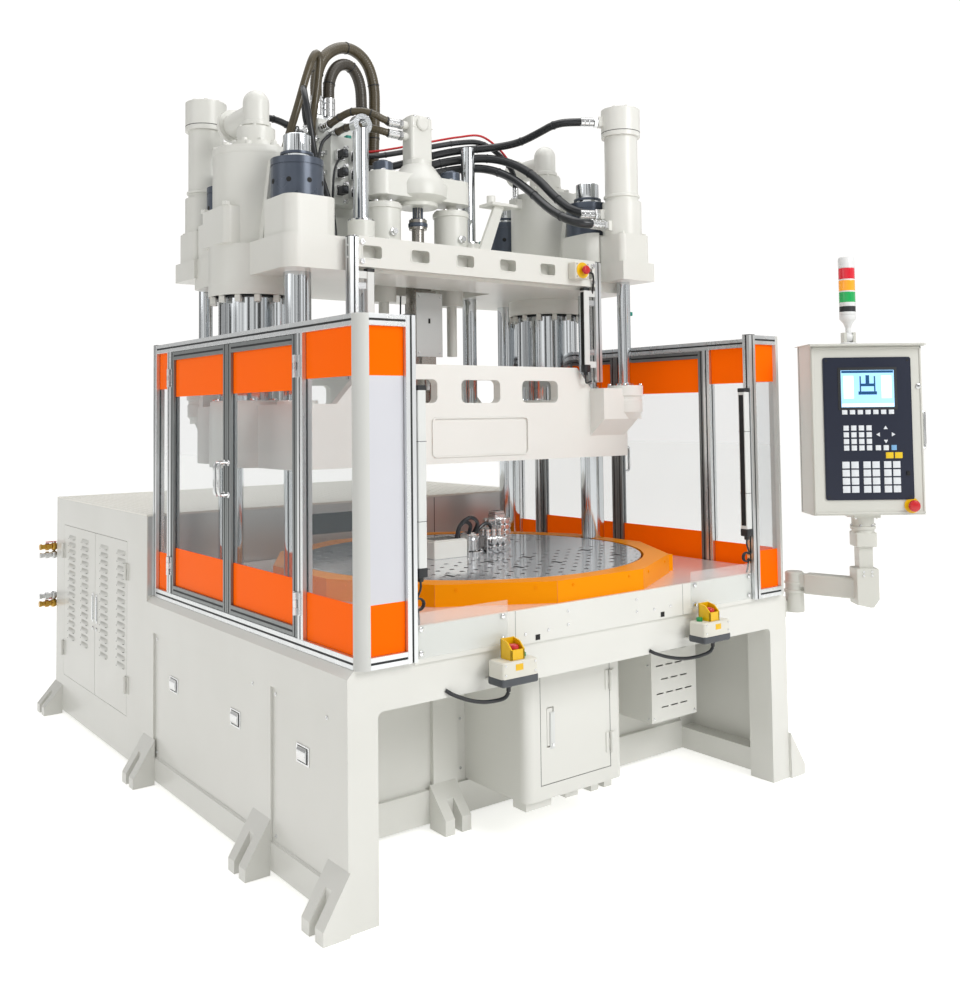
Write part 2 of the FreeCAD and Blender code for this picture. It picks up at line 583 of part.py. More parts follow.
# ---- injection unit ---------------------------------------------------------------------
def injection_cylinders():
    """The sliding base in the top platen's opening, with its two cylinders."""
    slide = OPENING_HALF - GUIDE_GAP
    depth = OPENING_DEPTH - GUIDE_GAP
    base = box(-slide, slide, INJECT_Y - depth, INJECT_Y + depth, TOP_LOW + 60, INJECT_LOW + 20)
    parts = [base]
    for side in (-1, 1):
        parts.append(rod(side * INJECT_X, INJECT_Y, INJECT_LOW + 20, INJECT_RADIUS,
                         INJECT_HIGH - INJECT_LOW - 20))
        parts.append(rod(side * INJECT_X, INJECT_Y, TOP_LOW - 60, 60, 120))
    unit = fuse(*parts)
    rods = [rod(side * INJECT_X, INJECT_Y, TOP_LOW - 100, INJECT_ROD + RUNNING_GAP, 700) for side in (-1, 1)]
    return cut(unit, *rods, rod(0, INJECT_Y, TOP_LOW, BARREL_RADIUS, 300))


def barrel():
    tubular = rod(0, INJECT_Y, NOZZLE_TIP + 90, BARREL_RADIUS, INJECT_LOW + 60 - NOZZLE_TIP - 90)
    nozzle = Part.makeCone(16, 46, 90, V(0, INJECT_Y, NOZZLE_TIP))
    bore = rod(0, INJECT_Y, NOZZLE_TIP + 110, BARREL_BORE, 1200)
    sprue = rod(0, INJECT_Y, NOZZLE_TIP - 1, 4, 200)
    cover = box(-41, 41, INJECT_Y - 88, INJECT_Y - 82, 1860, 2250)
    brackets = [box(-30, 30, INJECT_Y - 82, INJECT_Y - 50, z, z + 20) for z in (1890, 2200)]
    return cut(fuse(tubular, nozzle, cover, *brackets), bore, sprue)


def screw():
    """The screw and its shaft, with the coupling that joins it to the motor."""
    low = NOZZLE_TIP + 130
    core = rod(0, INJECT_Y, low, SCREW_RADIUS, 2560 - low)
    tip = Part.makeCone(3, SCREW_RADIUS - 4, 18, V(0, INJECT_Y, low - 18))
    coupling = rod(0, INJECT_Y, 2560, 44, 48)
    shaft = rod(0, INJECT_Y, 2608, 22, 92 + 20)
    return fuse(core, tip, coupling, shaft)


def crosshead():
    block = rounded(-CROSSHEAD_HALF, CROSSHEAD_HALF, 1215, 1385, CROSSHEAD_LOW, CROSSHEAD_HIGH, 60)
    neck = rod(0, INJECT_Y, CROSSHEAD_LOW - 32, 95, 32)
    cone = Part.makeCone(110, 70, MOTOR_LOW - CROSSHEAD_HIGH, V(0, INJECT_Y, CROSSHEAD_HIGH))
    head = fuse(block, neck, cone)
    head = head.cut(rod(0, INJECT_Y, CROSSHEAD_LOW - 40, 22 + RUNNING_GAP, 70))
    rods = []
    for side in (-1, 1):
        head = head.cut(rod(side * INJECT_X, INJECT_Y, CROSSHEAD_LOW - 1, INJECT_ROD + RUNNING_GAP, 200))
        rods.append(rod(side * INJECT_X, INJECT_Y, 1940, INJECT_ROD, 2845 - 1940))
        rods.append(tube(side * INJECT_X, INJECT_Y, CROSSHEAD_HIGH, 42, INJECT_ROD + RUNNING_GAP, 52))
    return group(head, *rods)


def hydraulic_motor():
    body = rounded(-62, 62, INJECT_Y - 45, INJECT_Y + 45, MOTOR_LOW, MOTOR_HIGH, 14)
    waist = rod(0, INJECT_Y, MOTOR_LOW, 70, 26)
    ports = [rod(-90, INJECT_Y, z, 20, 40, "X") for z in (MOTOR_HIGH - 40, MOTOR_HIGH - 95)]
    return fuse(body, waist, *ports)


def valve_block():
    tower = rounded(-370, -150, 1640, 1790, TOP_HIGH, 3140, 8)
    ledge = rounded(-400, -130, 1600, 1640, 2540, 2640, 8)
    stack = rounded(-340, -180, 1560, 1640, 2700, 3040, 6)
    ports = rounded(-95, 75, 1735, 1795, TOP_HIGH, 2610, 8)
    return group(tower, ledge, stack, ports)


# ---- hinges -----------------------------------------------------------------------------
def fixed_hinge(z):
    """Lower half and pin of a hinge, on a face that looks along +X, with its door towards +Y."""
    axis = HINGE_OUT
    leaf = box(0, 4, -26, -9.5, z, z + 80)
    knuckles = []
    for low in (z, z + 54):
        knuckles += [rod(axis, 0, low, 8, 26), box(0, 4, -10, 0, low, low + 26)]
    return fuse(leaf, *knuckles, rod(axis, 0, z + 20, HINGE_PIN, 40))


def door_hinge(z):
    """The half that the door carries."""
    axis, low, tall = HINGE_OUT, z + 26.3, 27.4
    leaf = box(0, 4, 9.5, 26, z, z + 80)
    knuckle = fuse(rod(axis, 0, low, 8, tall), box(0, 4, 2, 10, low, low + tall), leaf)
    return knuckle.cut(rod(axis, 0, low - 1, HINGE_PIN + RUNNING_GAP, tall + 2))


def turned_back(shape, y):
    """Mirror a hinge that was drawn towards +Y, and put it at a gap line."""
    shape = shape.mirror(V(0, 0, 0), V(0, 1, 0))
    shape.translate(V(0, y, 0))
    return shape


def at(shape, x, y):
    shape = shape.copy()
    shape.translate(V(x, y, 0))
    return shape


# ---- guards -----------------------------------------------------------------------------
def guard_hinge(make, z, rear):
    """A hinge half on the right guard, at the front or the rear door's outer edge."""
    hinge = turned_back(make(z), DOOR_REAR_Y[1]) if rear else at(make(z), 0, DOOR_FRONT_Y[0])
    return at(hinge, GUARD_HALF, 0)


def guard_frames():
    """Aluminium profile: the two side guards, and the rails that hold the upper curtains."""
    low, high = TABLE_TOP, GUARD_TOP
    out, inn = GUARD_HALF, GUARD_HALF - PROFILE
    corner = rounded(out - CORNER, out + CORNER, 0, 2 * CORNER, low, high, CORNER - 5)
    corner = corner.common(box(out - CORNER, out, 0, CORNER, low, high))
    parts = [corner, box(GUARD_INNER, GUARD_INNER + PROFILE, 0, PROFILE, low, high)]
    for z in (low, high - PROFILE):
        parts.append(box(GUARD_INNER + PROFILE, out - CORNER, 0, PROFILE, z, z + PROFILE))
        parts.append(box(inn, out, CORNER, GUARD_REAR - PROFILE, z, z + PROFILE))
    for y in (DOOR_FRONT_Y[0] - PROFILE, DOOR_REAR_Y[1]):
        parts.append(box(inn, out, y, y + PROFILE, low + PROFILE, high - PROFILE))
    parts.append(box(inn, out, GUARD_REAR - PROFILE, GUARD_REAR, low, high))
    parts.append(box(BEAM_HALF, BEAM_HALF + PROFILE, BEAM_FRONT, BEAM_FRONT + PROFILE, RAIL_FOOT, TOP_HIGH - 5))
    parts += [guard_hinge(fixed_hinge, z, rear) for z in GUARD_HINGES for rear in (False, True)]
    return both(group(*parts))


def fixed_panes():
    low, high = TABLE_TOP + PROFILE, GUARD_TOP - PROFILE
    middle = GUARD_HALF - PROFILE / 2
    half = PANE_THICK / 2
    parts = [box(GUARD_INNER + PROFILE, GUARD_HALF - CORNER, PROFILE / 2 - half, PROFILE / 2 + half, low, high),
             box(middle - half, middle + half, CORNER, DOOR_FRONT_Y[0] - PROFILE, low, high),
             box(middle - half, middle + half, DOOR_REAR_Y[1] + PROFILE, GUARD_REAR - PROFILE, low, high)]
    return both(group(*parts))


def door_frame(y0, y1, handle_y, rear):
    """One guard door's profile frame on the right side, with its hinges and its handle."""
    low, high = TABLE_TOP + PROFILE + DOOR_GAP, GUARD_TOP - PROFILE - DOOR_GAP
    y0, y1 = y0 + DOOR_GAP, y1 - DOOR_GAP
    out, inn = GUARD_HALF, GUARD_HALF - 30
    stiles = [box(inn, out, y0, y0 + 36, low, high), box(inn, out, y1 - 36, y1, low, high)]
    rails = [box(inn, out, y0 + 36, y1 - 36, z, z + 36) for z in (low, high - 36)]
    hinges = [guard_hinge(door_hinge, z, rear) for z in GUARD_HINGES]
    return group(*stiles, *rails, *hinges, door_handle(handle_y))


def door_pane(y0, y1):
    low, high = TABLE_TOP + PROFILE + DOOR_GAP + 36, GUARD_TOP - PROFILE - DOOR_GAP - 36
    middle = GUARD_HALF - 15
    half = PANE_THICK / 2
    return box(middle - half, middle + half, y0 + DOOR_GAP + 36, y1 - DOOR_GAP - 36, low, high)


def door_handle(y):
    """A bent D-handle on a meeting stile of the right side."""
    x, low, high, reach = GUARD_HALF, 1270.0, 1440.0, 42.0
    bar = 7.0
    grip = rod(x + reach, y, low, bar, high - low)
    ends = [rod(x, y, z, bar, reach, "X") for z in (low, high)]
    knuckles = [Part.makeSphere(bar, V(x + reach, y, z)) for z in (low, high)]
    return fuse(grip, *ends, *knuckles)


def light_curtains():
    lower = rounded(860 - CURTAIN_WIDTH / 2, 860 + CURTAIN_WIDTH / 2, 2, 38, 1120, 1750, 4)
    holders = [box(865, GUARD_INNER, 38, 44, z, z + 30) for z in (1135, 1705)]
    lower_clips = [box(852, 884, 38, 44, z, z + 30) for z in (1135, 1705)]
    upper = rounded(607 - CURTAIN_WIDTH / 2, 607 + CURTAIN_WIDTH / 2, BEAM_FRONT, BEAM_FRONT + 30, 1860, 2255, 4)
    clips = [box(624, BEAM_HALF, BEAM_FRONT + 5, BEAM_FRONT + 25, z, z + 30) for z in (1870, 2215)]
    return both(group(fuse(lower, *lower_clips), fuse(upper, *clips)))


# ---- cabinets ---------------------------------------------------------------------------
def power_cabinet():
    shell = box(-BASE_HALF, BASE_HALF, BASE_REAR, POWER_REAR, POWER_BOTTOM, POWER_TOP)
    w = POWER_WALL
    inside = box(w - BASE_HALF, BASE_HALF - w, BASE_REAR + w, POWER_REAR - w, POWER_BOTTOM + w, POWER_TOP - w)
    doorway = box(-BASE_HALF - 1, w - BASE_HALF + 1, *LOUVRE_Y, *LOUVRE_Z)
    pocket = box(-420, 60, BASE_REAR - 1, BASE_REAR + w + 1, 1040, 1150)
    shell = cut(shell, inside, doorway, pocket)
    plinth = [box(BASE_HALF - w, BASE_HALF, BASE_REAR, POWER_REAR, RAIL_UNDER, POWER_BOTTOM),
              foot(POWER_REAR - 62, 160)]
    back = box(-BASE_HALF + w, BASE_HALF - w, POWER_REAR - w, POWER_REAR, RAIL_UNDER, POWER_BOTTOM)
    hinges = [louvre_hinge(fixed_hinge, z, rear) for z in LOUVRE_HINGES for rear in (False, True)]
    return group(shell, *[both(p) for p in plinth], back, *hinges)


def tread_plate():
    return box(-BASE_HALF, BASE_HALF, BASE_REAR, POWER_REAR, POWER_TOP, POWER_TOP + TREAD_THICK)


def louvre_hinge(make, z, rear):
    """A hinge half on the cabinet's left side."""
    hinge = turned_back(make(z), LOUVRE_Y[1]) if rear else at(make(z), 0, LOUVRE_Y[0])
    return mirrored(at(hinge, BASE_HALF, 0))


def louvre_door(rear):
    """One of two swing doors on the cabinet's left side."""
    z0, z1 = LOUVRE_Z
    y0, y1 = (LOUVRE_SPLIT_Y, LOUVRE_Y[1]) if rear else (LOUVRE_Y[0], LOUVRE_SPLIT_Y)
    leaf = box(-BASE_HALF, 3 - BASE_HALF, y0 + DOOR_GAP, y1 - DOOR_GAP, z0 + DOOR_GAP, z1 - DOOR_GAP)
    return group(leaf, *[louvre_hinge(door_hinge, z, rear) for z in LOUVRE_HINGES])


def power_pack():
    """Oil tank with the pump and its motor on top."""
    low = POWER_BOTTOM + POWER_WALL
    front = BASE_REAR + 122
    shaft_y, shaft_z = front + 350, 740
    tank = rounded(-400, 1000, front, front + 700, low, TANK_TOP, 20)
    motor = rod(-350, shaft_y, shaft_z, 140, 460, "X")
    bell = rod(110, shaft_y, shaft_z, 110, 120, "X")
    pump = rod(230, shaft_y, shaft_z, 75, 220, "X")
    cradle = box(-300, 60, shaft_y - 100, shaft_y + 100, TANK_TOP, TANK_TOP + 40)
    return group(tank, fuse(motor, bell, pump, cradle))


def control_cabinet():
    half, wall = CABINET_HALF, CABINET_WALL
    top = TABLE_TOP - TABLE_THICK
    rear = CROSS_WALL_Y
    block = box(-half, half, CABINET_FRONT, rear, CABINET_BOTTOM, top)
    fronts = [e for e in block.Edges
              if abs(e.tangentAt(e.FirstParameter).z) > 0.99 and abs(e.CenterOfMass.y - CABINET_FRONT) < 1]
    block = block.makeFillet(CABINET_CORNER, fronts)
    inside = box(wall - half + 30, half - wall - 30, CABINET_FRONT + wall + 8, rear - wall, CABINET_BOTTOM + wall,
                 top - wall)
    doorway = box(-CABINET_DOOR_HALF, CABINET_DOOR_HALF, CABINET_FRONT - 1, CABINET_FRONT + wall + 9,
                  *CABINET_DOOR_Z)
    shelf = [box(half, half + 48, rear - 4, rear, CABINET_BOTTOM - 5, top),
             box(-half - 48, -half, rear - 4, rear, CABINET_BOTTOM - 5, top)]
    foot_block = box(-240, -110, CABINET_FRONT + 30, CABINET_FRONT + 110, CABINET_BOTTOM - 40, CABINET_BOTTOM)
    hinges = [cabinet_hinge(fixed_hinge, z) for z in CABINET_HINGES]
    return group(fuse(cut(block, inside, doorway), *shelf), foot_block, *hinges)


def cabinet_hinge(make, z):
    """A hinge half at the right edge of the control cabinet's door."""
    hinge = make(z)
    hinge.rotate(V(0, 0, 0), V(0, 0, 1), -90)
    return mirrored(at(hinge, -CABINET_DOOR_HALF, CABINET_FRONT))


def lower_cabinets():
    """The two boxes that hang under the table, behind the arch."""
    return group(control_cabinet(), vent_box())


def control_cabinet_door():
    gap = DOOR_GAP
    leaf = box(gap - CABINET_DOOR_HALF, CABINET_DOOR_HALF - gap, CABINET_FRONT, CABINET_FRONT + 18,
               CABINET_DOOR_Z[0] + gap, CABINET_DOOR_Z[1] - gap)
    pocket = rounded(-155, -118, CABINET_FRONT - 1, CABINET_FRONT + 10, 350, 505, 4, "Y")
    pull = rounded(-151, -122, CABINET_FRONT + 2, CABINET_FRONT + 10, 356, 499, 3, "Y")
    return group(fuse(leaf.cut(pocket), pull), *[cabinet_hinge(door_hinge, z) for z in CABINET_HINGES])


def vent_box():
    x0, x1 = VENT_X
    rear = CROSS_WALL_Y
    top = TABLE_TOP - TABLE_THICK
    sheet = 4.0
    shell = box(x0, x1, VENT_FRONT, rear, VENT_BOTTOM, top)
    shell = shell.cut(box(x0 + sheet, x1 - sheet, VENT_FRONT + sheet, rear - sheet,
                          VENT_BOTTOM + sheet, top - sheet))
    for row in range(7):
        count = 3 + row % 2
        for k in range(count):
            x = (x0 + x1) / 2 + (k - (count - 1) / 2) * 62
            z = VENT_BOTTOM + 62 + row * 62
            shell = shell.cut(rounded(x - 23, x + 23, VENT_FRONT - 1, VENT_FRONT + sheet + 1,
                                      z - 3, z + 3, 2.5, "Y"))
    return shell


# ---- push buttons -----------------------------------------------------------------------
def button_boxes():
    """Two hand boxes on the apron, and the stop box on the top beam, each with its button's well."""
    width, depth, height = HAND_SIZE
    x0, y0, z0 = HAND_X - width / 2, HAND_FRONT, HAND_TOP - height
    body = rounded(x0, x0 + width, y0, y0 + depth, z0, HAND_TOP, 6)
    shelf = box(x0 + 10, x0 + width - 10, y0 + depth, BASE_FRONT, z0, z0 + 8)
    collar = tube(HAND_X, y0 + depth / 2, HAND_TOP, 34, 27, 34)
    collar = collar.cut(box(HAND_X - 50, HAND_X + 50, y0 - 5, y0 + depth / 2 - 14, HAND_TOP + 10, HAND_TOP + 50))
    well = rod(HAND_X, y0 + depth / 2, HAND_TOP - 30, BUTTON_STEM + RUNNING_GAP, 40)
    hand = cut(fuse(body, shelf, collar), well)
    stop = rounded(BEAM_STOP_X - 45, BEAM_STOP_X + 45, BEAM_FRONT - 50, BEAM_FRONT, 2290, 2370, 6, "Y")
    ring = rod(BEAM_STOP_X, BEAM_FRONT - 54, 2330, 30, 4, "Y")
    stop = fuse(stop, ring).cut(rod(BEAM_STOP_X, BEAM_FRONT - 60, 2330, BUTTON_STEM + RUNNING_GAP, 40, "Y"))
    return group(both(hand), stop)


def palm_button(side):
    """A mushroom on its stem, standing in a hand box."""
    x, y = side * HAND_X, HAND_FRONT + HAND_SIZE[1] / 2
    stem = rod(x, y, HAND_TOP - 22, BUTTON_STEM, 22 + 12)
    head = rod(x, y, HAND_TOP + 12, 22, 14).fuse(rod(x, y, HAND_TOP + 26, 16, 6))
    return fuse(head, stem)


def beam_stop_button():
    y = BEAM_FRONT - 54
    head = rod(BEAM_STOP_X, y - 28, 2330, 20, 16, "Y")
    return fuse(head, rod(BEAM_STOP_X, y - 12, 2330, BUTTON_STEM, 30, "Y"))


# ---- operator's panel on its arm --------------------------------------------------------
def arm_post():
    """Bracket on the base's right side, with the pin that the arm turns on."""
    x, y = ARM_TURRET
    plate = box(BASE_HALF, BASE_HALF + 12, 40, 120, 720, 800)
    arm = box(BASE_HALF + 12, x, 42, 98, 735, 785)
    turret = rod(x, y, 735, 42, ARM_LOW - 735)
    link = box(x - 30, x, y, 98, 735, 785)
    pin = rod(x, y, ARM_LOW, 15, 40)
    return fuse(plate, arm, link, turret, pin)


def pendant_arm():
    x, y = ARM_TURRET
    dx, dy = NECK[0] - x, NECK[1] - y
    length = math.hypot(dx, dy)
    z0 = ARM_LOW + 0.3
    bar = box(0, length, -ARM_WIDTH / 2, ARM_WIDTH / 2, z0, z0 + ARM_WIDTH)
    bar.rotate(V(0, 0, 0), V(0, 0, 1), math.degrees(math.atan2(dy, dx)))
    bar.translate(V(x, y, 0))
    hub = rod(x, y, z0, 42, ARM_WIDTH)
    elbow = box(-36, 36, -36, 36, z0 - 10, z0 + 110)
    neck = box(-30, 30, -30, 30, z0 + 110, NECK_TOP)
    upright = fuse(elbow, neck)
    upright.rotate(V(0, 0, 0), V(0, 0, 1), PANEL_YAW)
    upright.translate(V(*NECK, 0))
    pin = rod(*NECK, NECK_TOP, 18, 60)
    bore = rod(x, y, ARM_LOW - 1, 15 + RUNNING_GAP, 45)
    return fuse(bar, hub, upright, pin).cut(bore)


def on_panel(shape):
    """Put a shape drawn round the neck, facing -Y, into the panel's own direction."""
    shape = shape.copy()
    shape.rotate(V(0, 0, 0), V(0, 0, 1), PANEL_YAW)
    shape.translate(V(*NECK, 0))
    return shape


def pendant_box():
    half, deep = PANEL_WIDTH / 2, PANEL_DEPTH / 2
    shell = rounded(-half, half, -deep, deep, PANEL_LOW, PANEL_HIGH, 12)
    lip = box(-half - 8, half + 4, -deep - 22, -deep, PANEL_HIGH - 12, PANEL_HIGH)
    gland = rounded(-60, 60, -60, 60, NECK_TOP + 70, PANEL_LOW, 8)
    collar = rod(0, 0, NECK_TOP + 0.3, 48, 70)
    stop_ring = rod(half - 62, -deep - 5, PANEL_LOW + 40, 25, 5, "Y")
    handle = [rod(half, -20, z, 6, 34, "X") for z in (1480, 1640)] + [rod(half + 34, -20, 1474, 6, 172)]
    bracket = box(LAMP_OFFSET - 26, LAMP_OFFSET - 14, -22, 22, PANEL_HIGH, PANEL_HIGH + 56)
    bracket2 = box(LAMP_OFFSET + 14, LAMP_OFFSET + 26, -22, 22, PANEL_HIGH, PANEL_HIGH + 56)
    pin = rod(LAMP_OFFSET - 26, 0, PANEL_HIGH + 36, 7, 52, "X")
    body = fuse(shell, lip, gland, collar, stop_ring, *handle, bracket, bracket2, pin)
    body = body.cut(rod(0, 0, NECK_TOP - 1, 18 + RUNNING_GAP, 66))
    body = body.cut(rod(half - 62, -deep - 6, PANEL_LOW + 40, BUTTON_STEM + RUNNING_GAP, 40, "Y"))
    return on_panel(body)


def operator_panel():
    deep = PANEL_DEPTH / 2
    return on_panel(rounded(-190, 191, -deep - 5, -deep, 1262, 1878, 10, "Y"))


def pendant_stop_button():
    half, deep = PANEL_WIDTH / 2, PANEL_DEPTH / 2
    head = rod(half - 62, -deep - 34, PANEL_LOW + 40, 21, 16, "Y")
    stem = rod(half - 62, -deep - 18, PANEL_LOW + 40, BUTTON_STEM, 40, "Y")
    return on_panel(fuse(head, stem))


def tower_lamp():
    """Knuckle, pole and stacked lenses, folding back over the panel box."""
    z = PANEL_HIGH + 36
    x = LAMP_OFFSET
    knuckle = rod(x - 13.7, 0, z, 20, 27.4, "X").cut(rod(x - 14, 0, z, 7 + RUNNING_GAP, 28, "X"))
    pole = rod(x, 0, z + 16, 11, 60)
    foot_cap = rod(x, 0, z + 76, LAMP_RADIUS, 22)
    stack = [rod(x, 0, z + 98 + k * 52, LAMP_RADIUS - 1, 50) for k in range(4)]
    spacers = [rod(x, 0, z + 96 + k * 52, LAMP_RADIUS - 4, 4) for k in range(5)]
    cap = rod(x, 0, z + 98 + 208, LAMP_RADIUS, LAMP_TOP - z - 306)
    return on_panel(fuse(knuckle, pole, foot_cap, *stack, *spacers, cap))


# ---- hoses ------------------------------------------------------------------------------
HOSES = {
    "return_hose_outer": (60.0, [(-335, 1715, 3140), (-335, 1715, 3250), (-338, 1718, 3380), (-280, 1728, 3510),
                                 (-150, 1742, 3585), (-20, 1755, 3545), (38, 1762, 3420), (40, 1765, 3250),
                                 (32, 1765, 3050), (25, 1765, 2850), (25, 1765, 2610)]),
    "return_hose_inner": (60.0, [(-265, 1715, 3140), (-265, 1715, 3250), (-262, 1720, 3370), (-205, 1732, 3470),
                                 (-115, 1746, 3490), (-50, 1758, 3410), (-40, 1764, 3270), (-43, 1765, 3060),
                                 (-45, 1765, 2850), (-45, 1765, 2610)]),
    "motor_hose_upper": (36.0, [(-345, 1640, 3092), (-345, 1560, 3092), (-341, 1465, 3108), (-318, 1375, 3122),
                                (-255, 1318, 3112), (-170, 1300, 3072), (-90, 1300, 3072)]),
    "motor_hose_lower": (36.0, [(-300, 1640, 3062), (-300, 1560, 3062), (-296, 1470, 3068), (-275, 1390, 3058),
                                (-225, 1325, 3036), (-155, 1300, 3017), (-90, 1300, 3017)]),
    "right_cap_hose": (40.0, [(-150, 1700, 2930), (-50, 1700, 2930), (90, 1660, 2960), (250, 1580, 3020),
                              (410, 1505, 3062), (540, 1400, 3070), (610, 1260, 3075), (630, 1120, 3100),
                              (640, 990, 3125), *into_port(*RIGHT_CAP_PORT, run=110.0)]),
    "right_base_hose_upper": (44.0, [(-150, 1700, 2870), (-50, 1700, 2870), (90, 1652, 2902), (250, 1578, 2970),
                                     (410, 1506, 3012), (540, 1400, 3018), (610, 1270, 2965), (640, 1130, 2865),
                                     (645, 1000, 2740), *into_port(*UPPER_BASE_PORT, run=110.0)]),
    "right_base_hose_lower": (44.0, [(-150, 1690, 2810), (-50, 1690, 2810), (90, 1648, 2846), (250, 1580, 2921),
                                     (410, 1512, 2963), (530, 1425, 2966), (588, 1290, 2900), (604, 1150, 2798),
                                     (595, 1010, 2690), (575, 880, 2620), (590, 775, 2575),
                                     *into_port(*LOWER_BASE_PORT, run=90.0)]),
    "right_clamp_hose": (28.0, [(-150, 1665, 2990), (-60, 1665, 2990), (80, 1625, 3022), (250, 1556, 3066),
                                (400, 1500, 3102), (514, 1446, 3112), (606, 1394, 3036), (637, 1330, 2940),
                                (641, 1320, 2870), (641, 1320, CLAMP_INLET)]),
    "left_cap_hose": (34.0, [(-370, 1740, 3090), (-445, 1740, 3090), (-520, 1733, 3118), (-600, 1728, 3126),
                             *into_port(*LEFT_CAP_PORT)]),
}


PARTS = {
    "base_frame": base_frame, "side_covers": side_covers, "deck_plate": deck_plate,
    "turntable_disc": turntable_disc, "turntable_spindle": turntable_spindle, "rotary_indexer": rotary_indexer,
    "turntable_skirt": turntable_skirt, "water_manifold": water_manifold,
    "tie_bars": tie_bars, "tie_bar_nuts": tie_bar_nuts, "top_platen": top_platen,
    "platen_fittings": platen_fittings,
    "moving_platen": moving_platen, "clamp_rams": clamp_rams, "platen_rods": platen_rods,
    "clamp_cylinders": clamp_cylinders, "quick_cylinders": quick_cylinders,
    "injection_cylinders": injection_cylinders, "barrel": barrel, "screw": screw, "crosshead": crosshead,
    "hydraulic_motor": hydraulic_motor, "valve_block": valve_block,
    "guard_frames": guard_frames, "fixed_panes": fixed_panes, "light_curtains": light_curtains,
    "power_cabinet": power_cabinet, "tread_plate": tread_plate, "power_pack": power_pack,
    "lower_cabinets": lower_cabinets, "control_cabinet_door": control_cabinet_door,
    "button_boxes": button_boxes, "left_palm_button": lambda: palm_button(-1),
    "right_palm_button": lambda: palm_button(1), "beam_stop_button": beam_stop_button,
    "arm_post": arm_post, "pendant_arm": pendant_arm, "pendant_box": pendant_box,
    "operator_panel": operator_panel, "pendant_stop_button": pendant_stop_button, "tower_lamp": tower_lamp,
    "front_louvre_door": lambda: louvre_door(False), "rear_louvre_door": lambda: louvre_door(True),
}
DOORS = {"front": (DOOR_FRONT_Y, DOOR_FRONT_Y[1] - 20), "rear": (DOOR_REAR_Y, DOOR_REAR_Y[0] + 20)}


def build():
    """Every sub-part's name and shape, drawn from the front floor point."""
    shapes = {name: make() for name, make in PARTS.items()}
    for end, ((y0, y1), handle_y) in DOORS.items():
        for side, turn in (("right", lambda s: s), ("left", mirrored)):
            shapes[f"{end}_{side}_door_frame"] = turn(door_frame(y0, y1, handle_y, end == "rear"))
            shapes[f"{end}_{side}_door_pane"] = turn(door_pane(y0, y1))
    return shapes


def main():
    os.makedirs("parts", exist_ok=True)
    shapes = build()
    whole = Part.makeCompound(list(shapes.values())).BoundBox
    to_origin = V(-whole.Center.x, -whole.Center.y, 0)
    print(f"the front floor point lies at {to_origin.x:.3f}, {to_origin.y:.3f}, 0")
    for name, (diameter, points) in HOSES.items():
        shapes[name] = hose(points, diameter)
    for name, shape in shapes.items():
        shape.translate(to_origin)
        shape.exportStep(f"parts/{name}.step")


if __name__ == "__main__":
    main()
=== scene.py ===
"""Looks of a vertical rotary-table injection moulding machine, built round its CAD frame.

Sizes in this file are millimetres in the machine's own directions: X to the operator's right,
Y from the front plane of the guard to the rear, Z up from the floor. FRONT_POINT moves them
into the frame.
"""

import math

import bpy
import numpy as np
from mathutils import Matrix, Vector


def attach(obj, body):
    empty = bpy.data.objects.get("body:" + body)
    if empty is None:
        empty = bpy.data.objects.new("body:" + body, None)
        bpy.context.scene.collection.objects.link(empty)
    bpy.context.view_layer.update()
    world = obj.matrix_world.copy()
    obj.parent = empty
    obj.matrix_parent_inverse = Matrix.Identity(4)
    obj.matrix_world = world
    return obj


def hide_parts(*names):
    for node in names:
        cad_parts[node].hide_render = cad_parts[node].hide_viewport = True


bl_info = {
    "name": "Vertical injection moulding machine",
    "version": (1, 0, 0),
    "blender": (4, 5, 0),
    "location": "3D View > Sidebar > Moulding machine",
    "description": "Builds the visible pieces and finishes of a rotary-table injection moulding machine",
    "category": "Add Mesh",
}

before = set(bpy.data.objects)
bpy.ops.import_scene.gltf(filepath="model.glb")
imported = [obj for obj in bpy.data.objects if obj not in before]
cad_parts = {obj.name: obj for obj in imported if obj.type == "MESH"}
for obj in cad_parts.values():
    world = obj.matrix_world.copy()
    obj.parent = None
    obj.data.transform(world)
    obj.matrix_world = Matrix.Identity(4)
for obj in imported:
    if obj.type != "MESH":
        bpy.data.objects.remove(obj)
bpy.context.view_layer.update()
FRONT_POINT = np.array([-145.064, -1425.070, 0.0])      # the guard's front point in the frame
TAU = 2 * math.pi
SCREW_Y = 1300.0                                        # the screw's axis
UP, DOWN, LEFT, RIGHT, FRONT, REAR = (0, 0, 1), (0, 0, -1), (-1, 0, 0), (1, 0, 0), (0, -1, 0), (0, 1, 0)


# ---- surfaces ---------------------------------------------------------------------------
def loft(rings):
    """Rings of points (k, m, 3), joined ring to ring round the whole turn, with a flat face on each end."""
    count, around = rings.shape[:2]
    row = np.arange(count - 1)[:, None] * around
    col = np.arange(around)[None, :]
    after = (col + 1) % around
    quads = np.stack([row + col, row + after, row + around + after, row + around + col], -1).reshape(-1, 4)
    ends = [list(range(around))[::-1], list(range((count - 1) * around, count * around))]
    return rings.reshape(-1, 3), quads.tolist() + ends


def hoop(rings):
    """Rings of points (k, m, 3) joined ring to ring, and the last to the first, so it closes on itself."""
    count, around = rings.shape[:2]
    row = np.arange(count)[:, None] * around
    col = np.arange(around)[None, :]
    after, below = (col + 1) % around, (row + around) % (count * around)
    quads = np.stack([row + col, row + after, below + after, below + col], -1).reshape(-1, 4)
    return rings.reshape(-1, 3), quads.tolist()


def stacked(outlines, levels, order=(0, 1, 2), skin=loft):
    """Flat outlines (m, 2), one at each level, skinned to a solid.

    The order says which of the outline's two numbers and the level is X, Y and Z.
    """
    rings = [np.column_stack([flat, np.full(len(flat), float(level))]) for flat, level in zip(outlines, levels)]
    return skin(np.array(rings)[..., list(order)])


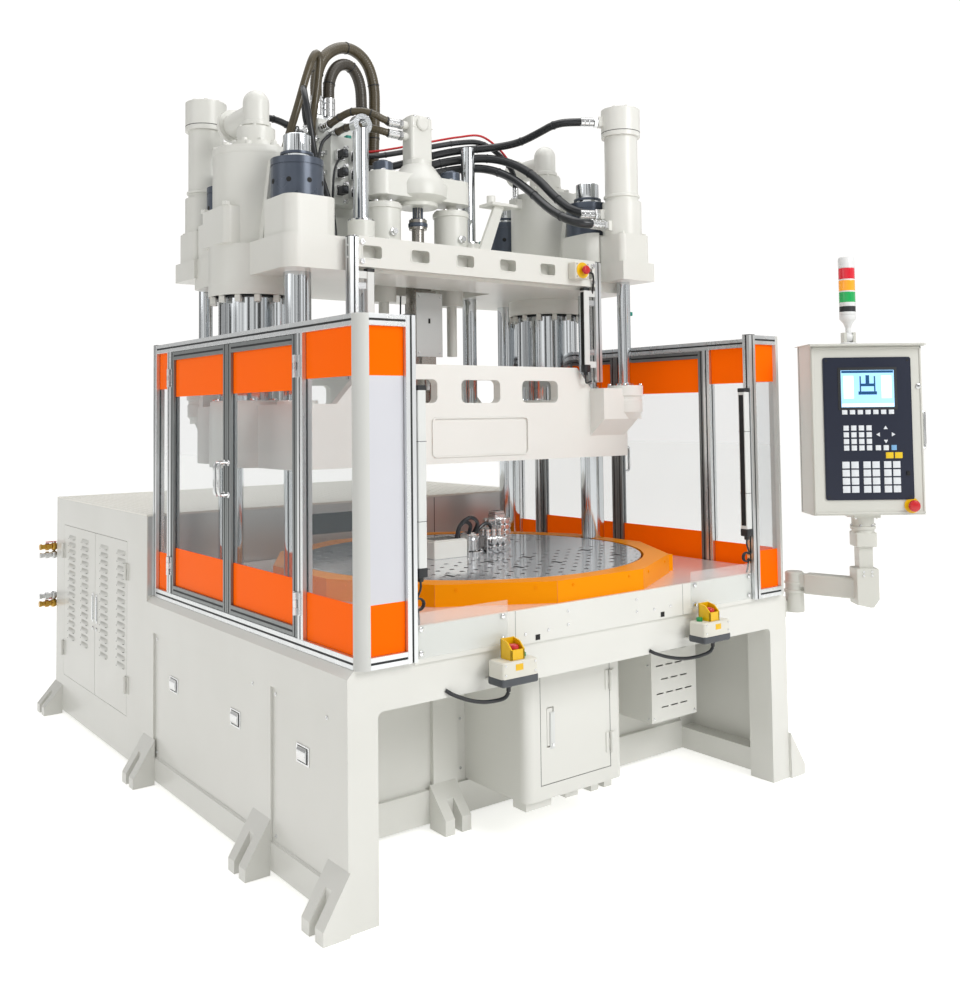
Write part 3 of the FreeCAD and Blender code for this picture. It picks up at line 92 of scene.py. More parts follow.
def net(points):
    """An open sheet over a grid of points (k, m, 3): each four neighbours make one face."""
    count, across = points.shape[:2]
    row = np.arange(count - 1)[:, None] * across
    col = np.arange(across - 1)[None, :]
    quads = np.stack([row + col, row + col + 1, row + across + col + 1, row + across + col], -1).reshape(-1, 4)
    return points.reshape(-1, 3), quads.tolist()


def turned(profile, sides=28):
    """A lathe shape: each radius and height of the profile goes once round the Z axis."""
    profile = np.asarray(profile, float)
    angle = np.arange(sides) * TAU / sides
    radius = np.maximum(profile[:, :1], 0.02)
    height = np.broadcast_to(profile[:, 1:], (len(profile), sides))
    return loft(np.stack([radius * np.cos(angle), radius * np.sin(angle), height], -1))


def outline(half_x, half_y, corner, steps=1):
    """A rectangle with each corner a quarter circle of the given radius, as (m, 2) points."""
    quarter = np.linspace(0, math.pi / 2, steps + 1)
    angle = (quarter + np.arange(4)[:, None] * math.pi / 2).reshape(-1)
    sign_x = np.repeat([1, -1, -1, 1], steps + 1)
    sign_y = np.repeat([1, 1, -1, -1], steps + 1)
    return np.stack([sign_x * (half_x - corner) + corner * np.cos(angle),
                     sign_y * (half_y - corner) + corner * np.sin(angle)], -1)


def block(x0, x1, y0, y1, z0, z1, edge=1.0, corner=None, steps=1):
    """A box: the rounded outline carried up Z, drawn in by the edge width at its two ends."""
    corner = edge if corner is None else corner
    half = np.array([x1 - x0, y1 - y0]) / 2
    edge = min(edge, half.min() * 0.49, (z1 - z0) * 0.49)
    corner = max(min(corner, half.min() - 0.01), edge)
    flats = [outline(*(half - inset), max(corner - inset, 0.02), steps) for inset in (edge, 0.0, 0.0, edge)]
    return moved(stacked(flats, (z0, z0 + edge, z1 - edge, z1)), (x0 + x1) / 2, (y0 + y1) / 2)


def transported(path):
    """Two directions square to a path, carried along it without twist, one pair for each station."""
    along = np.gradient(path, axis=0)
    along /= np.linalg.norm(along, axis=1)[:, None]
    side = np.empty_like(along)
    first = np.cross(along[0], [0.0, 0.0, 1.0] if abs(along[0][2]) < 0.9 else [0.0, 1.0, 0.0])
    side[0] = first / np.linalg.norm(first)
    for k in range(1, len(along)):
        kept = side[k - 1] - along[k] * side[k - 1].dot(along[k])
        side[k] = kept / np.linalg.norm(kept)
    return side, np.cross(along, side)


def tube(path, radius, sides=12, rib=0.0, pitch=12.0):
    """A round tube: radius + rib * |sin| of the turn plus the length over the pitch, which is a spiral wrap."""
    path = np.asarray(path, float)
    side, other = transported(path)
    step = np.linalg.norm(np.diff(path, axis=0), axis=1)
    length = np.concatenate([[0], np.cumsum(step)])[:, None]
    angle = np.arange(sides)[None, :] * TAU / sides
    wrap = np.abs(np.sin(angle / 2 + math.pi * length / pitch)) if rib else np.zeros_like(angle + length)
    size = (np.asarray(radius, float).reshape(-1, 1) + rib * (wrap - 0.7))[..., None]
    return loft(path[:, None] + size * (side[:, None] * np.cos(angle)[..., None]
                                        + other[:, None] * np.sin(angle)[..., None]))


# ---- placing ----------------------------------------------------------------------------
def join(*solids):
    """Several solids as one list of points and one of faces."""
    points, faces, base = [], [], 0
    for solid_points, solid_faces in solids:
        points.append(solid_points)
        faces += [[index + base for index in face] for face in solid_faces]
        base += len(solid_points)
    return np.concatenate(points), faces


def copies(solid, places):
    """The same solid at each row of places (n, 3)."""
    points, faces = solid
    places = np.asarray(places, float)
    all_points = (places[:, None] + points[None]).reshape(-1, 3)
    return all_points, [[i + k * len(points) for i in face] for k in range(len(places)) for face in faces]


def moved(solid, x=0.0, y=0.0, z=0.0):
    """The solid set off by x, y, z."""
    return solid[0] + [x, y, z], solid[1]


def facing(solid, direction):
    """Turn a solid drawn upwards, so that its +Z looks along a direction."""
    turn = np.array(Vector((0, 0, 1)).rotation_difference(Vector(direction)).to_matrix())
    return solid[0] @ turn.T, solid[1]


def lathe(profile, sides, x, y, z, aim=UP):
    """A lathe shape set at x, y, z, with its axis along the aim."""
    return moved(facing(turned(profile, sides), aim), x, y, z)


def spun(solid, degrees, x=0.0, y=0.0):
    """Turn a solid about an upright line through x, y."""
    turn = np.array(Matrix.Rotation(math.radians(degrees), 3, "Z"))
    return (solid[0] - [x, y, 0]) @ turn.T + [x, y, 0], solid[1]


def mirrored(solid, axis=0):
    """The solid's mirror image across the plane X = 0, or Y = 0 for axis 1, its faces turned outward again."""
    sign = np.where(np.arange(3) == axis, -1, 1)
    return solid[0] * sign, [face[::-1] for face in solid[1]]


def pair(*solids):
    """The solids and their mirror images on the machine's other side."""
    solid = join(*solids)
    return join(solid, mirrored(solid))


def half_turned(solid):
    """The solid at the opposite corner of the clamp, half a turn round the screw."""
    return spun(solid, 180, 0, SCREW_Y)


# ---- colours and finishes ---------------------------------------------------------------
def linear(colour, alpha=1.0):
    """A hex sRGB colour as linear numbers."""
    parts = [int(colour[k:k + 2], 16) / 255 for k in (1, 3, 5)]
    return [c / 12.92 if c <= 0.04045 else ((c + 0.055) / 1.055) ** 2.4 for c in parts] + [alpha]


def add(tree, kind, inputs=None, **settings):
    """Adds a node: settings are its own, and inputs are numbers or (node, output) links."""
    node = tree.nodes.new(kind)
    for name, value in settings.items():
        setattr(node, name, value)
    for name, value in (inputs or {}).items():
        if isinstance(value, tuple) and isinstance(value[0], bpy.types.Node):
            tree.links.new(value[0].outputs[value[1]], node.inputs[name])
        else:
            node.inputs[name].default_value = value
    return node


FINISHES = {}


def finish(name, colour, roughness, metallic=0.0, second=None, mottle=90.0, stretch=(1, 1, 1), grain=0.0,
           depth=0.0, rough_spread=0.0, coat=0.0, alpha=1.0, glow=0.0, ior=1.5):
    """One finish. mottle and grain are real pattern sizes in millimetres, depth the height of the grain.

    The colour wanders between the first and the second with a soft noise of the mottle's size; the
    roughness wanders by rough_spread; the bump is a finer noise of the grain's size.
    """
    material = bpy.data.materials.new(name)
    material.use_nodes = True
    tree = material.node_tree
    shader = tree.nodes["Principled BSDF"]
    place = add(tree, "ShaderNodeTexCoord")
    stretched = add(tree, "ShaderNodeMapping", {"Vector": (place, "Object"), "Scale": stretch})
    soft = add(tree, "ShaderNodeTexNoise",
               {"Vector": (stretched, "Vector"), "Scale": 1000 / mottle, "Detail": 3.0})
    shader.inputs["Base Color"].default_value = linear(colour)
    if second:
        blend = add(tree, "ShaderNodeMix", {"Factor": (soft, "Fac")}, data_type="RGBA")
        blend.inputs["A"].default_value = linear(colour)
        blend.inputs["B"].default_value = linear(second)
        tree.links.new(blend.outputs["Result"], shader.inputs["Base Color"])
    shader.inputs["Roughness"].default_value = roughness
    if rough_spread:
        spread = add(tree, "ShaderNodeMapRange", {"Value": (soft, "Fac"), "To Min": roughness - rough_spread,
                                                  "To Max": roughness + rough_spread})
        tree.links.new(spread.outputs["Result"], shader.inputs["Roughness"])
    if grain:
        fine = add(tree, "ShaderNodeTexNoise",
                   {"Vector": (stretched, "Vector"), "Scale": 1000 / grain, "Detail": 2.0})
        bump = add(tree, "ShaderNodeBump", {"Height": (fine, "Fac"), "Distance": depth / 1000, "Strength": 1.0})
        tree.links.new(bump.outputs["Normal"], shader.inputs["Normal"])
    shader.inputs["Metallic"].default_value = metallic
    if not metallic:
        shader.inputs["IOR"].default_value = ior
    shader.inputs["Coat Weight"].default_value = coat
    shader.inputs["Coat Roughness"].default_value = 0.08
    shader.inputs["Alpha"].default_value = alpha
    if glow:
        shader.inputs["Emission Color"].default_value = linear(colour)
        shader.inputs["Emission Strength"].default_value = glow
    FINISHES[name] = material


def piece(name, parts, body="machine", replaces=(), sharp=32.0):
    """One object from (solid, finish) parts, set into the frame at the origin and ridden on a body."""
    mesh = bpy.data.meshes.new(name)
    points, faces = join(*[solid for solid, _ in parts])
    mesh.from_pydata(((points + FRONT_POINT) / 1000).tolist(), [], faces)
    names = list(dict.fromkeys(finish_name for _, finish_name in parts))
    for finish_name in names:
        mesh.materials.append(FINISHES[finish_name])
    index = np.concatenate([np.full(len(solid[1]), names.index(finish_name)) for solid, finish_name in parts])
    mesh.polygons.foreach_set("material_index", index)
    mesh.polygons.foreach_set("use_smooth", np.ones(len(index), bool))
    mesh.set_sharp_from_angle(angle=math.radians(sharp))
    mesh.update()
    obj = bpy.data.objects.new(name, mesh)
    bpy.context.scene.collection.objects.link(obj)
    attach(obj, body)
    if replaces:
        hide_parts(*replaces)
    return obj


# ---- settings that a user may change ----------------------------------------------------
def length(name, description, default):
    """A property for a size, shown in the scene's own unit of length (metres)."""
    return bpy.props.FloatProperty(name=name, description=description, default=default, min=0.0, unit="LENGTH")


def colour(name, description, default):
    """A property for a colour, kept as sRGB and turned linear where a finish is made."""
    parts = [int(default[k:k + 2], 16) / 255 for k in (1, 3, 5)]
    return bpy.props.FloatVectorProperty(name=name, description=description, default=parts, size=3,
                                         min=0.0, max=1.0, subtype="COLOR_GAMMA")


def hex_of(value):
    """A colour property as hex sRGB."""
    return "#" + "".join(f"{round(part * 255):02X}" for part in value)


class PaintSettings(bpy.types.PropertyGroup):
    """Colours of the machine's paint and panes."""
    enamel: colour("Machine enamel", "Colour of the castings and sheet metal", "#E7E7E2")
    table_orange: colour("Table guard orange", "Colour of the ring round the turntable", "#F79900")
    film_orange: colour("Pane orange", "Colour of the bands along the guard's panes", "#FF6400")
    nut_blue: colour("Nut black", "Colour of the blackened tie bar nuts", "#4A525F")
    panel_navy: colour("Operator panel", "Colour of the operator panel's foil", "#111A30")


class GuardSettings(bpy.types.PropertyGroup):
    """Sizes of the guard's profiles and panes."""
    slot_width: length("Profile slot", "Width of the black slot along a profile", 0.008)
    band_height: length("Orange band", "Height of the orange band on a pane", 0.165)


class DetailSettings(bpy.types.PropertyGroup):
    """Sizes of the repeated small pieces."""
    screw_radius: length("Cover screw", "Radius of the head of a cover screw", 0.007)
    louvre_pitch: length("Louvre pitch", "Height from one louvre to the next", 0.039)
    lozenge_pitch: length("Tread pitch", "Distance between the lozenges of the tread plate", 0.034)
    spiral_pitch: length("Hose wrap", "Pitch of the spiral wrap on a hose", 0.013)


def paint():
    """The paint settings of this scene."""
    return bpy.context.scene.moulding_paint


def guard():
    """The guard settings of this scene."""
    return bpy.context.scene.moulding_guard


def detail():
    """The settings of the repeated small pieces."""
    return bpy.context.scene.moulding_detail


# ---- small parts that many pieces share -------------------------------------------------
def screw_head(radius, height=None):
    """A socket screw's head, drawn upwards: a cylinder with a rounded rim and a sunk socket."""
    height = radius * 0.9 if height is None else height
    rim = [(radius, 0), (radius, height * 0.8), (radius * 0.9, height)]
    hollow = [(radius * 0.5, height), (radius * 0.42, height * 0.45)]
    return turned(rim + hollow, 14)


def hex_head(radius, height):
    """A six-sided bolt head with a chamfered top."""
    return turned([(radius, 0), (radius, height * 0.85), (radius * 0.88, height)], 6)


def ring_of(solid, radius, count, x, y, z, start=0.0):
    """Copies of a solid round a circle."""
    angle = math.radians(start) + np.arange(count) * TAU / count
    return copies(solid, np.stack([x + radius * np.cos(angle), y + radius * np.sin(angle),
                                   np.full(count, float(z))], -1))


def grid_of(xs, ys, zs):
    """Every combination of three lists of coordinates, as rows."""
    return np.array(np.meshgrid(xs, ys, zs, indexing="ij"), float).reshape(3, -1).T


def screw_rows(radius, height, aim, xs, ys, zs):
    """Socket screws at every combination of three lists of coordinates, their heads along the aim."""
    return copies(facing(screw_head(radius, height), aim), grid_of(xs, ys, zs))


def straight(start, end, radius, sides=14):
    """A round bar between two points."""
    start, end = np.array(start, float), np.array(end, float)
    span = np.linalg.norm(end - start)
    return moved(facing(turned([(radius, 0), (radius, span)], sides), end - start), *start)


def bent(points, radius, sides=10, steps=10):
    """A round tube along a smooth curve through points: a Catmull-Rom curve, cubic between neighbours."""
    points = np.asarray(points, float)
    full = np.vstack([2 * points[0] - points[1], points, 2 * points[-1] - points[-2]])
    t = np.linspace(0, 1, steps, endpoint=False)[None, :, None]
    a, b, c, d = (full[k:len(full) - 3 + k][:, None] for k in range(4))
    curve = 0.5 * (2 * b + (c - a) * t + (2 * a - 5 * b + 4 * c - d) * t ** 2 + (3 * b - a - 3 * c + d) * t ** 3)
    return tube(np.vstack([curve.reshape(-1, 3), points[-1:]]), radius, sides)


def fitting(size):
    """A hydraulic hose fitting drawn upwards: hexagon nut, collar and ribbed sleeve."""
    nut = turned([(size * 1.15, 0), (size * 1.2, 2), (size * 1.2, size * 0.9), (size * 1.1, size)], 6)
    sleeve = turned([(size * 0.8, size), (size, size * 1.1), (size, size * 2.0), (size * 0.93, size * 2.1),
                     (size, size * 2.2), (size, size * 3.0), (size * 0.93, size * 3.1), (size, size * 3.2),
                     (size, size * 3.9),
                     (size * 0.85, size * 4.0)], 18)
    return join(nut, sleeve)


# ---- finishes ---------------------------------------------------------------------------
def make_finishes():
    """Every finish of the machine, by its common name."""
    enamel = hex_of(paint().enamel)
    # Two-part enamel, sprayed: an even gloss with a faint orange peel.
    finish("machine_enamel", enamel, 0.34, second="#DDDDD7", mottle=420, grain=7, depth=0.05, coat=0.25,
           rough_spread=0.05)
    # The same enamel on rough castings, which keep some of the sand's texture.
    finish("casting_enamel", "#E7E7E2", 0.36, second="#DCDCD5", mottle=260, grain=11, depth=0.16, coat=0.15,
           rough_spread=0.06)
    # The moving platen's enamel is the castings' enamel painted lighter: painted light that brightens the shade the
    # platen stands in.
    finish("platen_lightened_enamel", "#F3F3EF", 0.36, second="#E9E9E4", mottle=260, grain=11, depth=0.16, coat=0.15)
    finish("pendant_enamel", "#D6D6CF", 0.36, second="#CDCDC5", mottle=300, grain=7, depth=0.05, coat=0.2)
    finish("tread_metal", "#FBF9F2", 0.42, second="#EFEDE4", mottle=240, grain=9, depth=0.06)
    finish("tread_worn", "#F2F0E8", 0.30, second="#E4E2D8", mottle=160)
    # Deck plate: the pinkish tint of its steel is a painted reflection of the orange ring round the turntable.
    finish("deck_steel", "#FAF0ED", 0.24, 0.5, second="#F0E5E1", mottle=260, stretch=(0.2, 1, 1),
           rough_spread=0.06)
    finish("valve_enamel", "#E2E3DE", 0.36, second="#D3D5D1", mottle=180, grain=9, depth=0.05)
    finish("inner_enamel", "#E0E1E0", 0.42, second="#D6D7D5", mottle=300, grain=9, depth=0.06)
    # Hard chrome on ground bars: nearly a mirror, with faint rings from grinding.
    finish("hard_chrome", "#D3D7DA", 0.09, 1.0, mottle=60, stretch=(1, 1, 30), rough_spread=0.04)
    finish("ground_steel", "#E6E9EC", 0.10, 0.6, second="#DADDE0", mottle=160, rough_spread=0.05)
    finish("sheet_steel", "#CDCFCE", 0.34, 0.75, second="#BFC1C0", mottle=240, stretch=(0.2, 1, 1),
           rough_spread=0.08)
    finish("anodised_aluminium", "#E2E4E5", 0.28, 0.85, second="#D6D9DB", mottle=35, stretch=(1, 1, 0.05),
           rough_spread=0.06)
    finish("bright_plating", "#D9DADB", 0.16, 1.0, rough_spread=0.04, mottle=30)
    finish("blackened_steel", hex_of(paint().nut_blue), 0.30, 0.35, second="#535B68", mottle=60,
           rough_spread=0.08)
    finish("dark_casting", "#3B3F44", 0.5, 0.3, second="#2C3034", mottle=30, grain=3, depth=0.15)
    finish("bare_barrel", "#A8A5A0", 0.26, 1.0, second="#96928C", mottle=90, stretch=(1, 1, 4),
           rough_spread=0.08)
    finish("table_orange", hex_of(paint().table_orange), 0.30, second="#F59200", mottle=200, grain=6,
           depth=0.05,
           ior=1.15)
    # The orange film glows though it is no lamp: painted light that makes the bands brighter than the lamps alone
    # make them.
    finish("orange_acrylic_painted_glow", hex_of(paint().film_orange), 0.22, second="#FF6C08", mottle=500, ior=1.1,
           glow=0.19)
    finish("post_enamel", "#D8D9D6", 0.38, second="#CECFCB", mottle=300, grain=8, depth=0.04)
    finish("frame_aluminium", "#8E9191", 0.40, 0.7, second="#838788", mottle=35, stretch=(1, 1, 0.05),
           rough_spread=0.05)
    finish("clear_shield", "#E6ECEC", 0.04, alpha=0.16, ior=1.49)
    # The clear panes' grey tint is painted shade, standing in for the dim room seen through them.
    finish("clear_acrylic_painted_shade", "#8D989D", 0.04, alpha=0.14, ior=1.49)
    finish("frosted_acrylic", "#DFE0E6", 0.42, alpha=0.93, second="#D8D9E0", mottle=300)
    finish("slot_rubber", "#15171A", 0.6, second="#1D2023", mottle=20)
    finish("satin_black", "#17191C", 0.42, second="#202327", mottle=25, grain=1.5, depth=0.04)
    finish("nitrile_rubber", "#0D1014", 0.34, second="#161A20", mottle=25, grain=2, depth=0.05, coat=0.25)
    finish("olive_wrap", "#3D3626", 0.34, second="#574C33", mottle=45, coat=0.25)
    finish("umber_wrap", "#2B2721", 0.34, second="#433B2D", mottle=45, coat=0.25)
    finish("yellow_brass", "#C9A24B", 0.24, 1.0, second="#B98F3E", mottle=20, rough_spread=0.06)
    finish("teal_plastic", "#0E8F7E", 0.35, second="#0B7F70", mottle=20)
    finish("signal_red", "#D01420", 0.26, second="#BE101C", mottle=60, coat=0.3)
    finish("signal_yellow", "#F2C200", 0.30, second="#E6B600", mottle=60)
    finish("guard_orange", "#F08A1D", 0.34, second="#E88012", mottle=60)
    finish("signal_green", "#12924A", 0.3, second="#0E8342", mottle=60)
    finish("lens_red", "#D4142B", 0.12, coat=0.5, glow=0.12)
    finish("lens_yellow", "#FFA51E", 0.12, coat=0.5, glow=0.15)
    finish("lens_green", "#0FA552", 0.12, coat=0.5, glow=0.12)
    finish("curtain_white", "#E3E5E3", 0.36, second="#DADCDA", mottle=120)
    finish("white_plastic", "#E9EAEA", 0.3, second="#E2E3E3", mottle=60)
    finish("cream_plastic", "#E2E0D6", 0.38, second="#D9D7CC", mottle=50, grain=1.6, depth=0.05)
    finish("grey_plastic", "#4B4F54", 0.45, second="#42464B", mottle=40, grain=1.6, depth=0.05)
    finish("panel_foil", hex_of(paint().panel_navy), 0.30, second="#0E162A", mottle=120)
    finish("key_white", "#E4E8EC", 0.35, second="#D8DDE2", mottle=30)
    finish("key_yellow", "#EDC81E", 0.35, second="#E0BC18", mottle=30)
    finish("key_blue", "#7FB2DC", 0.35, second="#74A6D0", mottle=30)
    finish("screen_glass", "#8FC3EC", 0.1, second="#A9D2F2", mottle=120, coat=0.6, glow=0.75)
    finish("screen_dark", "#27507A", 0.1, coat=0.6, glow=0.3)
    finish("screen_white", "#E6F1FA", 0.1, coat=0.6, glow=0.7)
    finish("shadow_black", "#08090A", 0.7, second="#0C0D0F", mottle=30)
    finish("floor_paint", "#F4F4F2", 0.6, second="#F1F1EF", mottle=900, glow=0.6)


CAD_FINISHES = {
    "machine_enamel": ["base_frame", "side_covers", "power_cabinet", "lower_cabinets", "control_cabinet_door",
                       "front_louvre_door", "rear_louvre_door"],
    "pendant_enamel": ["arm_post", "pendant_arm", "pendant_box"],
    "platen_lightened_enamel": ["moving_platen"],
    "casting_enamel": ["top_platen", "platen_fittings", "clamp_cylinders", "quick_cylinders",
                       "injection_cylinders", "crosshead"],
    "hard_chrome": ["tie_bars", "clamp_rams", "platen_rods"],
    "blackened_steel": ["tie_bar_nuts"],
    "ground_steel": ["turntable_disc", "turntable_spindle"],
    "deck_steel": ["deck_plate"],
    "valve_enamel": ["valve_block"],
    "table_orange": ["turntable_skirt"],
    "bright_plating": ["water_manifold"],
    "dark_casting": ["rotary_indexer"],
    "bare_barrel": ["barrel", "screw"],
    "inner_enamel": ["power_pack"],
    "tread_metal": ["tread_plate"],
    "curtain_white": ["light_curtains"],
    "signal_red": ["left_palm_button", "right_palm_button", "beam_stop_button", "pendant_stop_button"],
    "panel_foil": ["operator_panel"],
    "white_plastic": ["tower_lamp"],
}


def finish_frame():
    """Give each CAD piece that stays its own finish."""
    make_finishes()
    for name, nodes in CAD_FINISHES.items():
        for node in nodes:
            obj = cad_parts[node]
            obj.data.materials.clear()
            obj.data.materials.append(FINISHES[name])
    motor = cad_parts["hydraulic_motor"]
    motor.data.materials.clear()
    motor.data.materials.append(FINISHES["casting_enamel"])


# ---- guard ------------------------------------------------------------------------------
GUARD_HALF, GUARD_LOW, GUARD_TOP, GUARD_REAR, GUARD_INNER = 1110.0, 827.0, 1988.0, 1878.0, 884.0
PROFILE = 40.0
CORNER = 42.0
DOORS = {"front": (430.0, 1040.0), "rear": (1040.0, 1660.0)}


def profile_bar(low, high, along):
    """A slotted aluminium bar: a square section with a T-slot's mouth in each side, carried along one axis.

    Returns the bar and the black rubber that lies in its slots.
    """
    low, high = np.array(low, float), np.array(high, float)
    axis = "XYZ".index(along)
    cross = [k for k in range(3) if k != axis]
    half = (high - low)[cross] / 2
    middle = ((high + low) / 2)[cross]
    mouth = guard().slot_width * 500
    sunk = 3.0
    edge = 1.2
    quarter = []
    for sign_x, sign_y, swap in ((1, 1, False), (-1, 1, True), (-1, -1, False), (1, -1, True)):
        corner = [(half[0], mouth, half[0] - sunk), (half[0], half[1] - edge, 0), (half[0] - edge, half[1], 0),
                  (mouth, half[1], half[1] - sunk)]
        side = [(corner[0][2], mouth), corner[0][:2], corner[1][:2], corner[2][:2], (mouth, half[1]),
                (mouth, corner[3][2])]
        side = [(sign_x * x, sign_y * y) for x, y in side]
        quarter += side[::-1] if swap else side
    section = np.array(quarter) + middle
    rings = np.empty((2, len(section), 3))
    for k, level in enumerate((low[axis], high[axis])):
        rings[k][:, axis] = level
        rings[k][:, cross[0]] = section[:, 0]
        rings[k][:, cross[1]] = section[:, 1]
    if axis == 1:
        rings = rings[:, ::-1]
    bar = loft(rings)
    strips = []
    for k in range(2):
        for sign in (-1, 1):
            a, b = low.copy(), high.copy()
            a[axis], b[axis] = low[axis] + 1, high[axis] - 1
            other = cross[1 - k]
            a[other], b[other] = middle[1 - k] - mouth + 0.2, middle[1 - k] + mouth - 0.2
            face = middle[k] + sign * half[k]
            a[cross[k]], b[cross[k]] = sorted((face - sign * (sunk + 1.5), face - sign * 1.2))
            strips.append(block(a[0], b[0], a[1], b[1], a[2], b[2], 0.3))
    return bar, join(*strips)


def hinge_halves(z, fixed):
    """A butt hinge on a face that looks along +X, its door towards +Y: leaf, knuckles and pin, as in the frame."""
    axis = 9.0
    def knuckle(low, tall):
        """One knuckle round the pin."""
        return lathe([(7.4, 0), (8, 0.8), (8, tall - 0.8), (7.4, tall)], 20, axis, 0, low)
    if fixed:
        parts = [block(0, 4, -26, -9.5, z, z + 80, 0.6), knuckle(z, 26), knuckle(z + 54, 26)]
        parts += [block(0, 4, -10, 0, low, low + 26, 0.4) for low in (z, z + 54)]
        parts.append(lathe([(4, 0), (4, 40)], 16, axis, 0, z + 20))
        parts.append(screw_rows(3.4, 1.4, RIGHT, [4], [-19], [z + 14, z + 66]))
    else:
        parts = [block(0, 4, 9.5, 26, z, z + 80, 0.6), knuckle(z + 26.3, 27.4)]
        parts.append(block(0, 4, 2, 10, z + 26.3, z + 53.7, 0.4))
        parts.append(screw_rows(3.4, 1.4, RIGHT, [4], [19], [z + 14, z + 66]))
    return join(*parts)


def at_hinge(solid, rear):
    """Put a hinge half on the right guard, at the front or the rear door's outer edge."""
    if rear:
        solid = mirrored(solid, 1)
    return moved(solid, GUARD_HALF, DOORS["rear"][1] if rear else DOORS["front"][0])


HINGE_Z = (950.0, 1790.0)


def guard_bars():
    """Start, end and direction of each straight profile of the right side."""
    out, inn = GUARD_HALF, GUARD_HALF - PROFILE
    low, high = GUARD_LOW, GUARD_TOP
    bars = [((GUARD_INNER, 0, low), (GUARD_INNER + PROFILE, PROFILE, high), "Z"),
            ((inn, GUARD_REAR - PROFILE, low), (out, GUARD_REAR, high), "Z"),
            ((665, 745, 1800), (705, 785, 2385), "Z")]
    for y in (DOORS["front"][0] - PROFILE, DOORS["rear"][1]):
        bars.append(((inn, y, low + PROFILE), (out, y + PROFILE, high - PROFILE), "Z"))
    for z in (low, high - PROFILE):
        bars.append(((GUARD_INNER + PROFILE, 0, z), (out - CORNER, PROFILE, z + PROFILE), "X"))
        bars.append(((inn, CORNER, z), (out, GUARD_REAR - PROFILE, z + PROFILE), "Y"))
    return bars


def corner_post():
    """The white corner post: a quarter round on the outside, carried straight up."""
    turn = np.linspace(-math.pi / 2, 0, 9)
    curve = CORNER - 4
    arc = np.stack([GUARD_HALF - curve + curve * np.cos(turn), curve + curve * np.sin(turn)], -1)
    section = np.vstack([[(GUARD_HALF - CORNER, 0)], arc,
                         [(GUARD_HALF, CORNER), (GUARD_HALF - CORNER, CORNER)]])
    return stacked([section] * 2, (GUARD_LOW, GUARD_TOP))


def end_cap(x, y, z):
    """A black plastic cap on a profile's upper end."""
    return block(x, x + PROFILE, y, y + PROFILE, z, z + 3, 1.0, 2.0, 2)


def build_guard():
    """The guard's profiles, caps and white corner posts, then the four doors."""
    metal, rubber = zip(*[profile_bar(*bar) for bar in guard_bars()])
    hinges = [at_hinge(hinge_halves(z, True), rear) for z in HINGE_Z for rear in (False, True)]
    caps = [end_cap(GUARD_INNER, 0, GUARD_TOP), end_cap(GUARD_HALF - PROFILE, GUARD_REAR - PROFILE, GUARD_TOP),
            end_cap(665, 745, 2385)]
    brackets = screw_rows(5, 4, RIGHT, [705], [765], [1830, 1870, 2300, 2350])
    piece("guard_profiles", [(pair(*metal, *hinges, brackets), "anodised_aluminium"),
                             (pair(*rubber), "slot_rubber"),
                             (pair(*caps), "satin_black"), (pair(corner_post()), "post_enamel")],
          replaces=("guard_frames",))
    for end, (y0, y1) in DOORS.items():
        for side in ("left", "right"):
            turn = mirrored if side == "left" else (lambda s: s)
            build_door(end, side, y0 + 2, y1 - 2, turn)


def banded_pane(x, y0, y1, z0, z1, middle):
    """A flat pane across X in three lengths: an orange band, the middle sheet, and an orange band."""
    band = guard().band_height * 1000
    half = 2.5
    def sheet(low, high):
        """One length of the pane."""
        return block(x - half, x + half, y0, y1, low, high, 0.2)
    # The orange bands carry the film's painted glow.
    return [(sheet(z0, z0 + band), "orange_acrylic_painted_glow"), (sheet(z0 + band, z1 - band), middle),
            (sheet(z1 - band, z1), "orange_acrylic_painted_glow")]


def build_door(end, side, y0, y1, turn):
    """A hinged door: four slotted bars, hinges, a bent handle, and its pane between orange bands."""
    low, high = GUARD_LOW + PROFILE + 2, GUARD_TOP - PROFILE - 2
    out, inn, wide = GUARD_HALF, GUARD_HALF - 30, 36
    bars = [((inn, y0, low), (out, y0 + wide, high), "Z"), ((inn, y1 - wide, low), (out, y1, high), "Z"),
            ((inn, y0 + wide, low), (out, y1 - wide, low + wide), "Y"),
            ((inn, y0 + wide, high - wide), (out, y1 - wide, high), "Y")]
    metal, rubber = zip(*[profile_bar(*bar) for bar in bars])
    hinges = [at_hinge(hinge_halves(z, False), end == "rear") for z in HINGE_Z]
    grip = y1 - 18 if end == "front" else y0 + 18
    z0, z1 = 1340, 1468
    handle = bent([(out, grip, z0), (out + 30, grip, z0), (out + 42, grip, z0 + 12),
                   (out + 42, grip, (z0 + z1) / 2),
                   (out + 42, grip, z1 - 12), (out + 30, grip, z1), (out, grip, z1)], 7, 14)
    feet = copies(facing(turned([(13, 0), (13, 3), (9, 6)], 20), RIGHT), grid_of([out], [grip], [z0, z1]))
    body = f"{end}_{side}_door"
    piece(f"{body}_profiles", [(turn(join(*metal)), "frame_aluminium"), (turn(join(*rubber)), "slot_rubber"),
                               (turn(join(*hinges, handle, feet)), "bright_plating")],
          body, (f"{body}_frame",))
    # The door's clear pane carries the grey tint of painted shade.
    panes = banded_pane(GUARD_HALF - 15, y0 + wide, y1 - wide, low + wide, high - wide, "clear_acrylic_painted_shade")
    piece(f"{body}_acrylic", [(turn(solid), name) for solid, name in panes], body,
          (f"{body}_pane",))


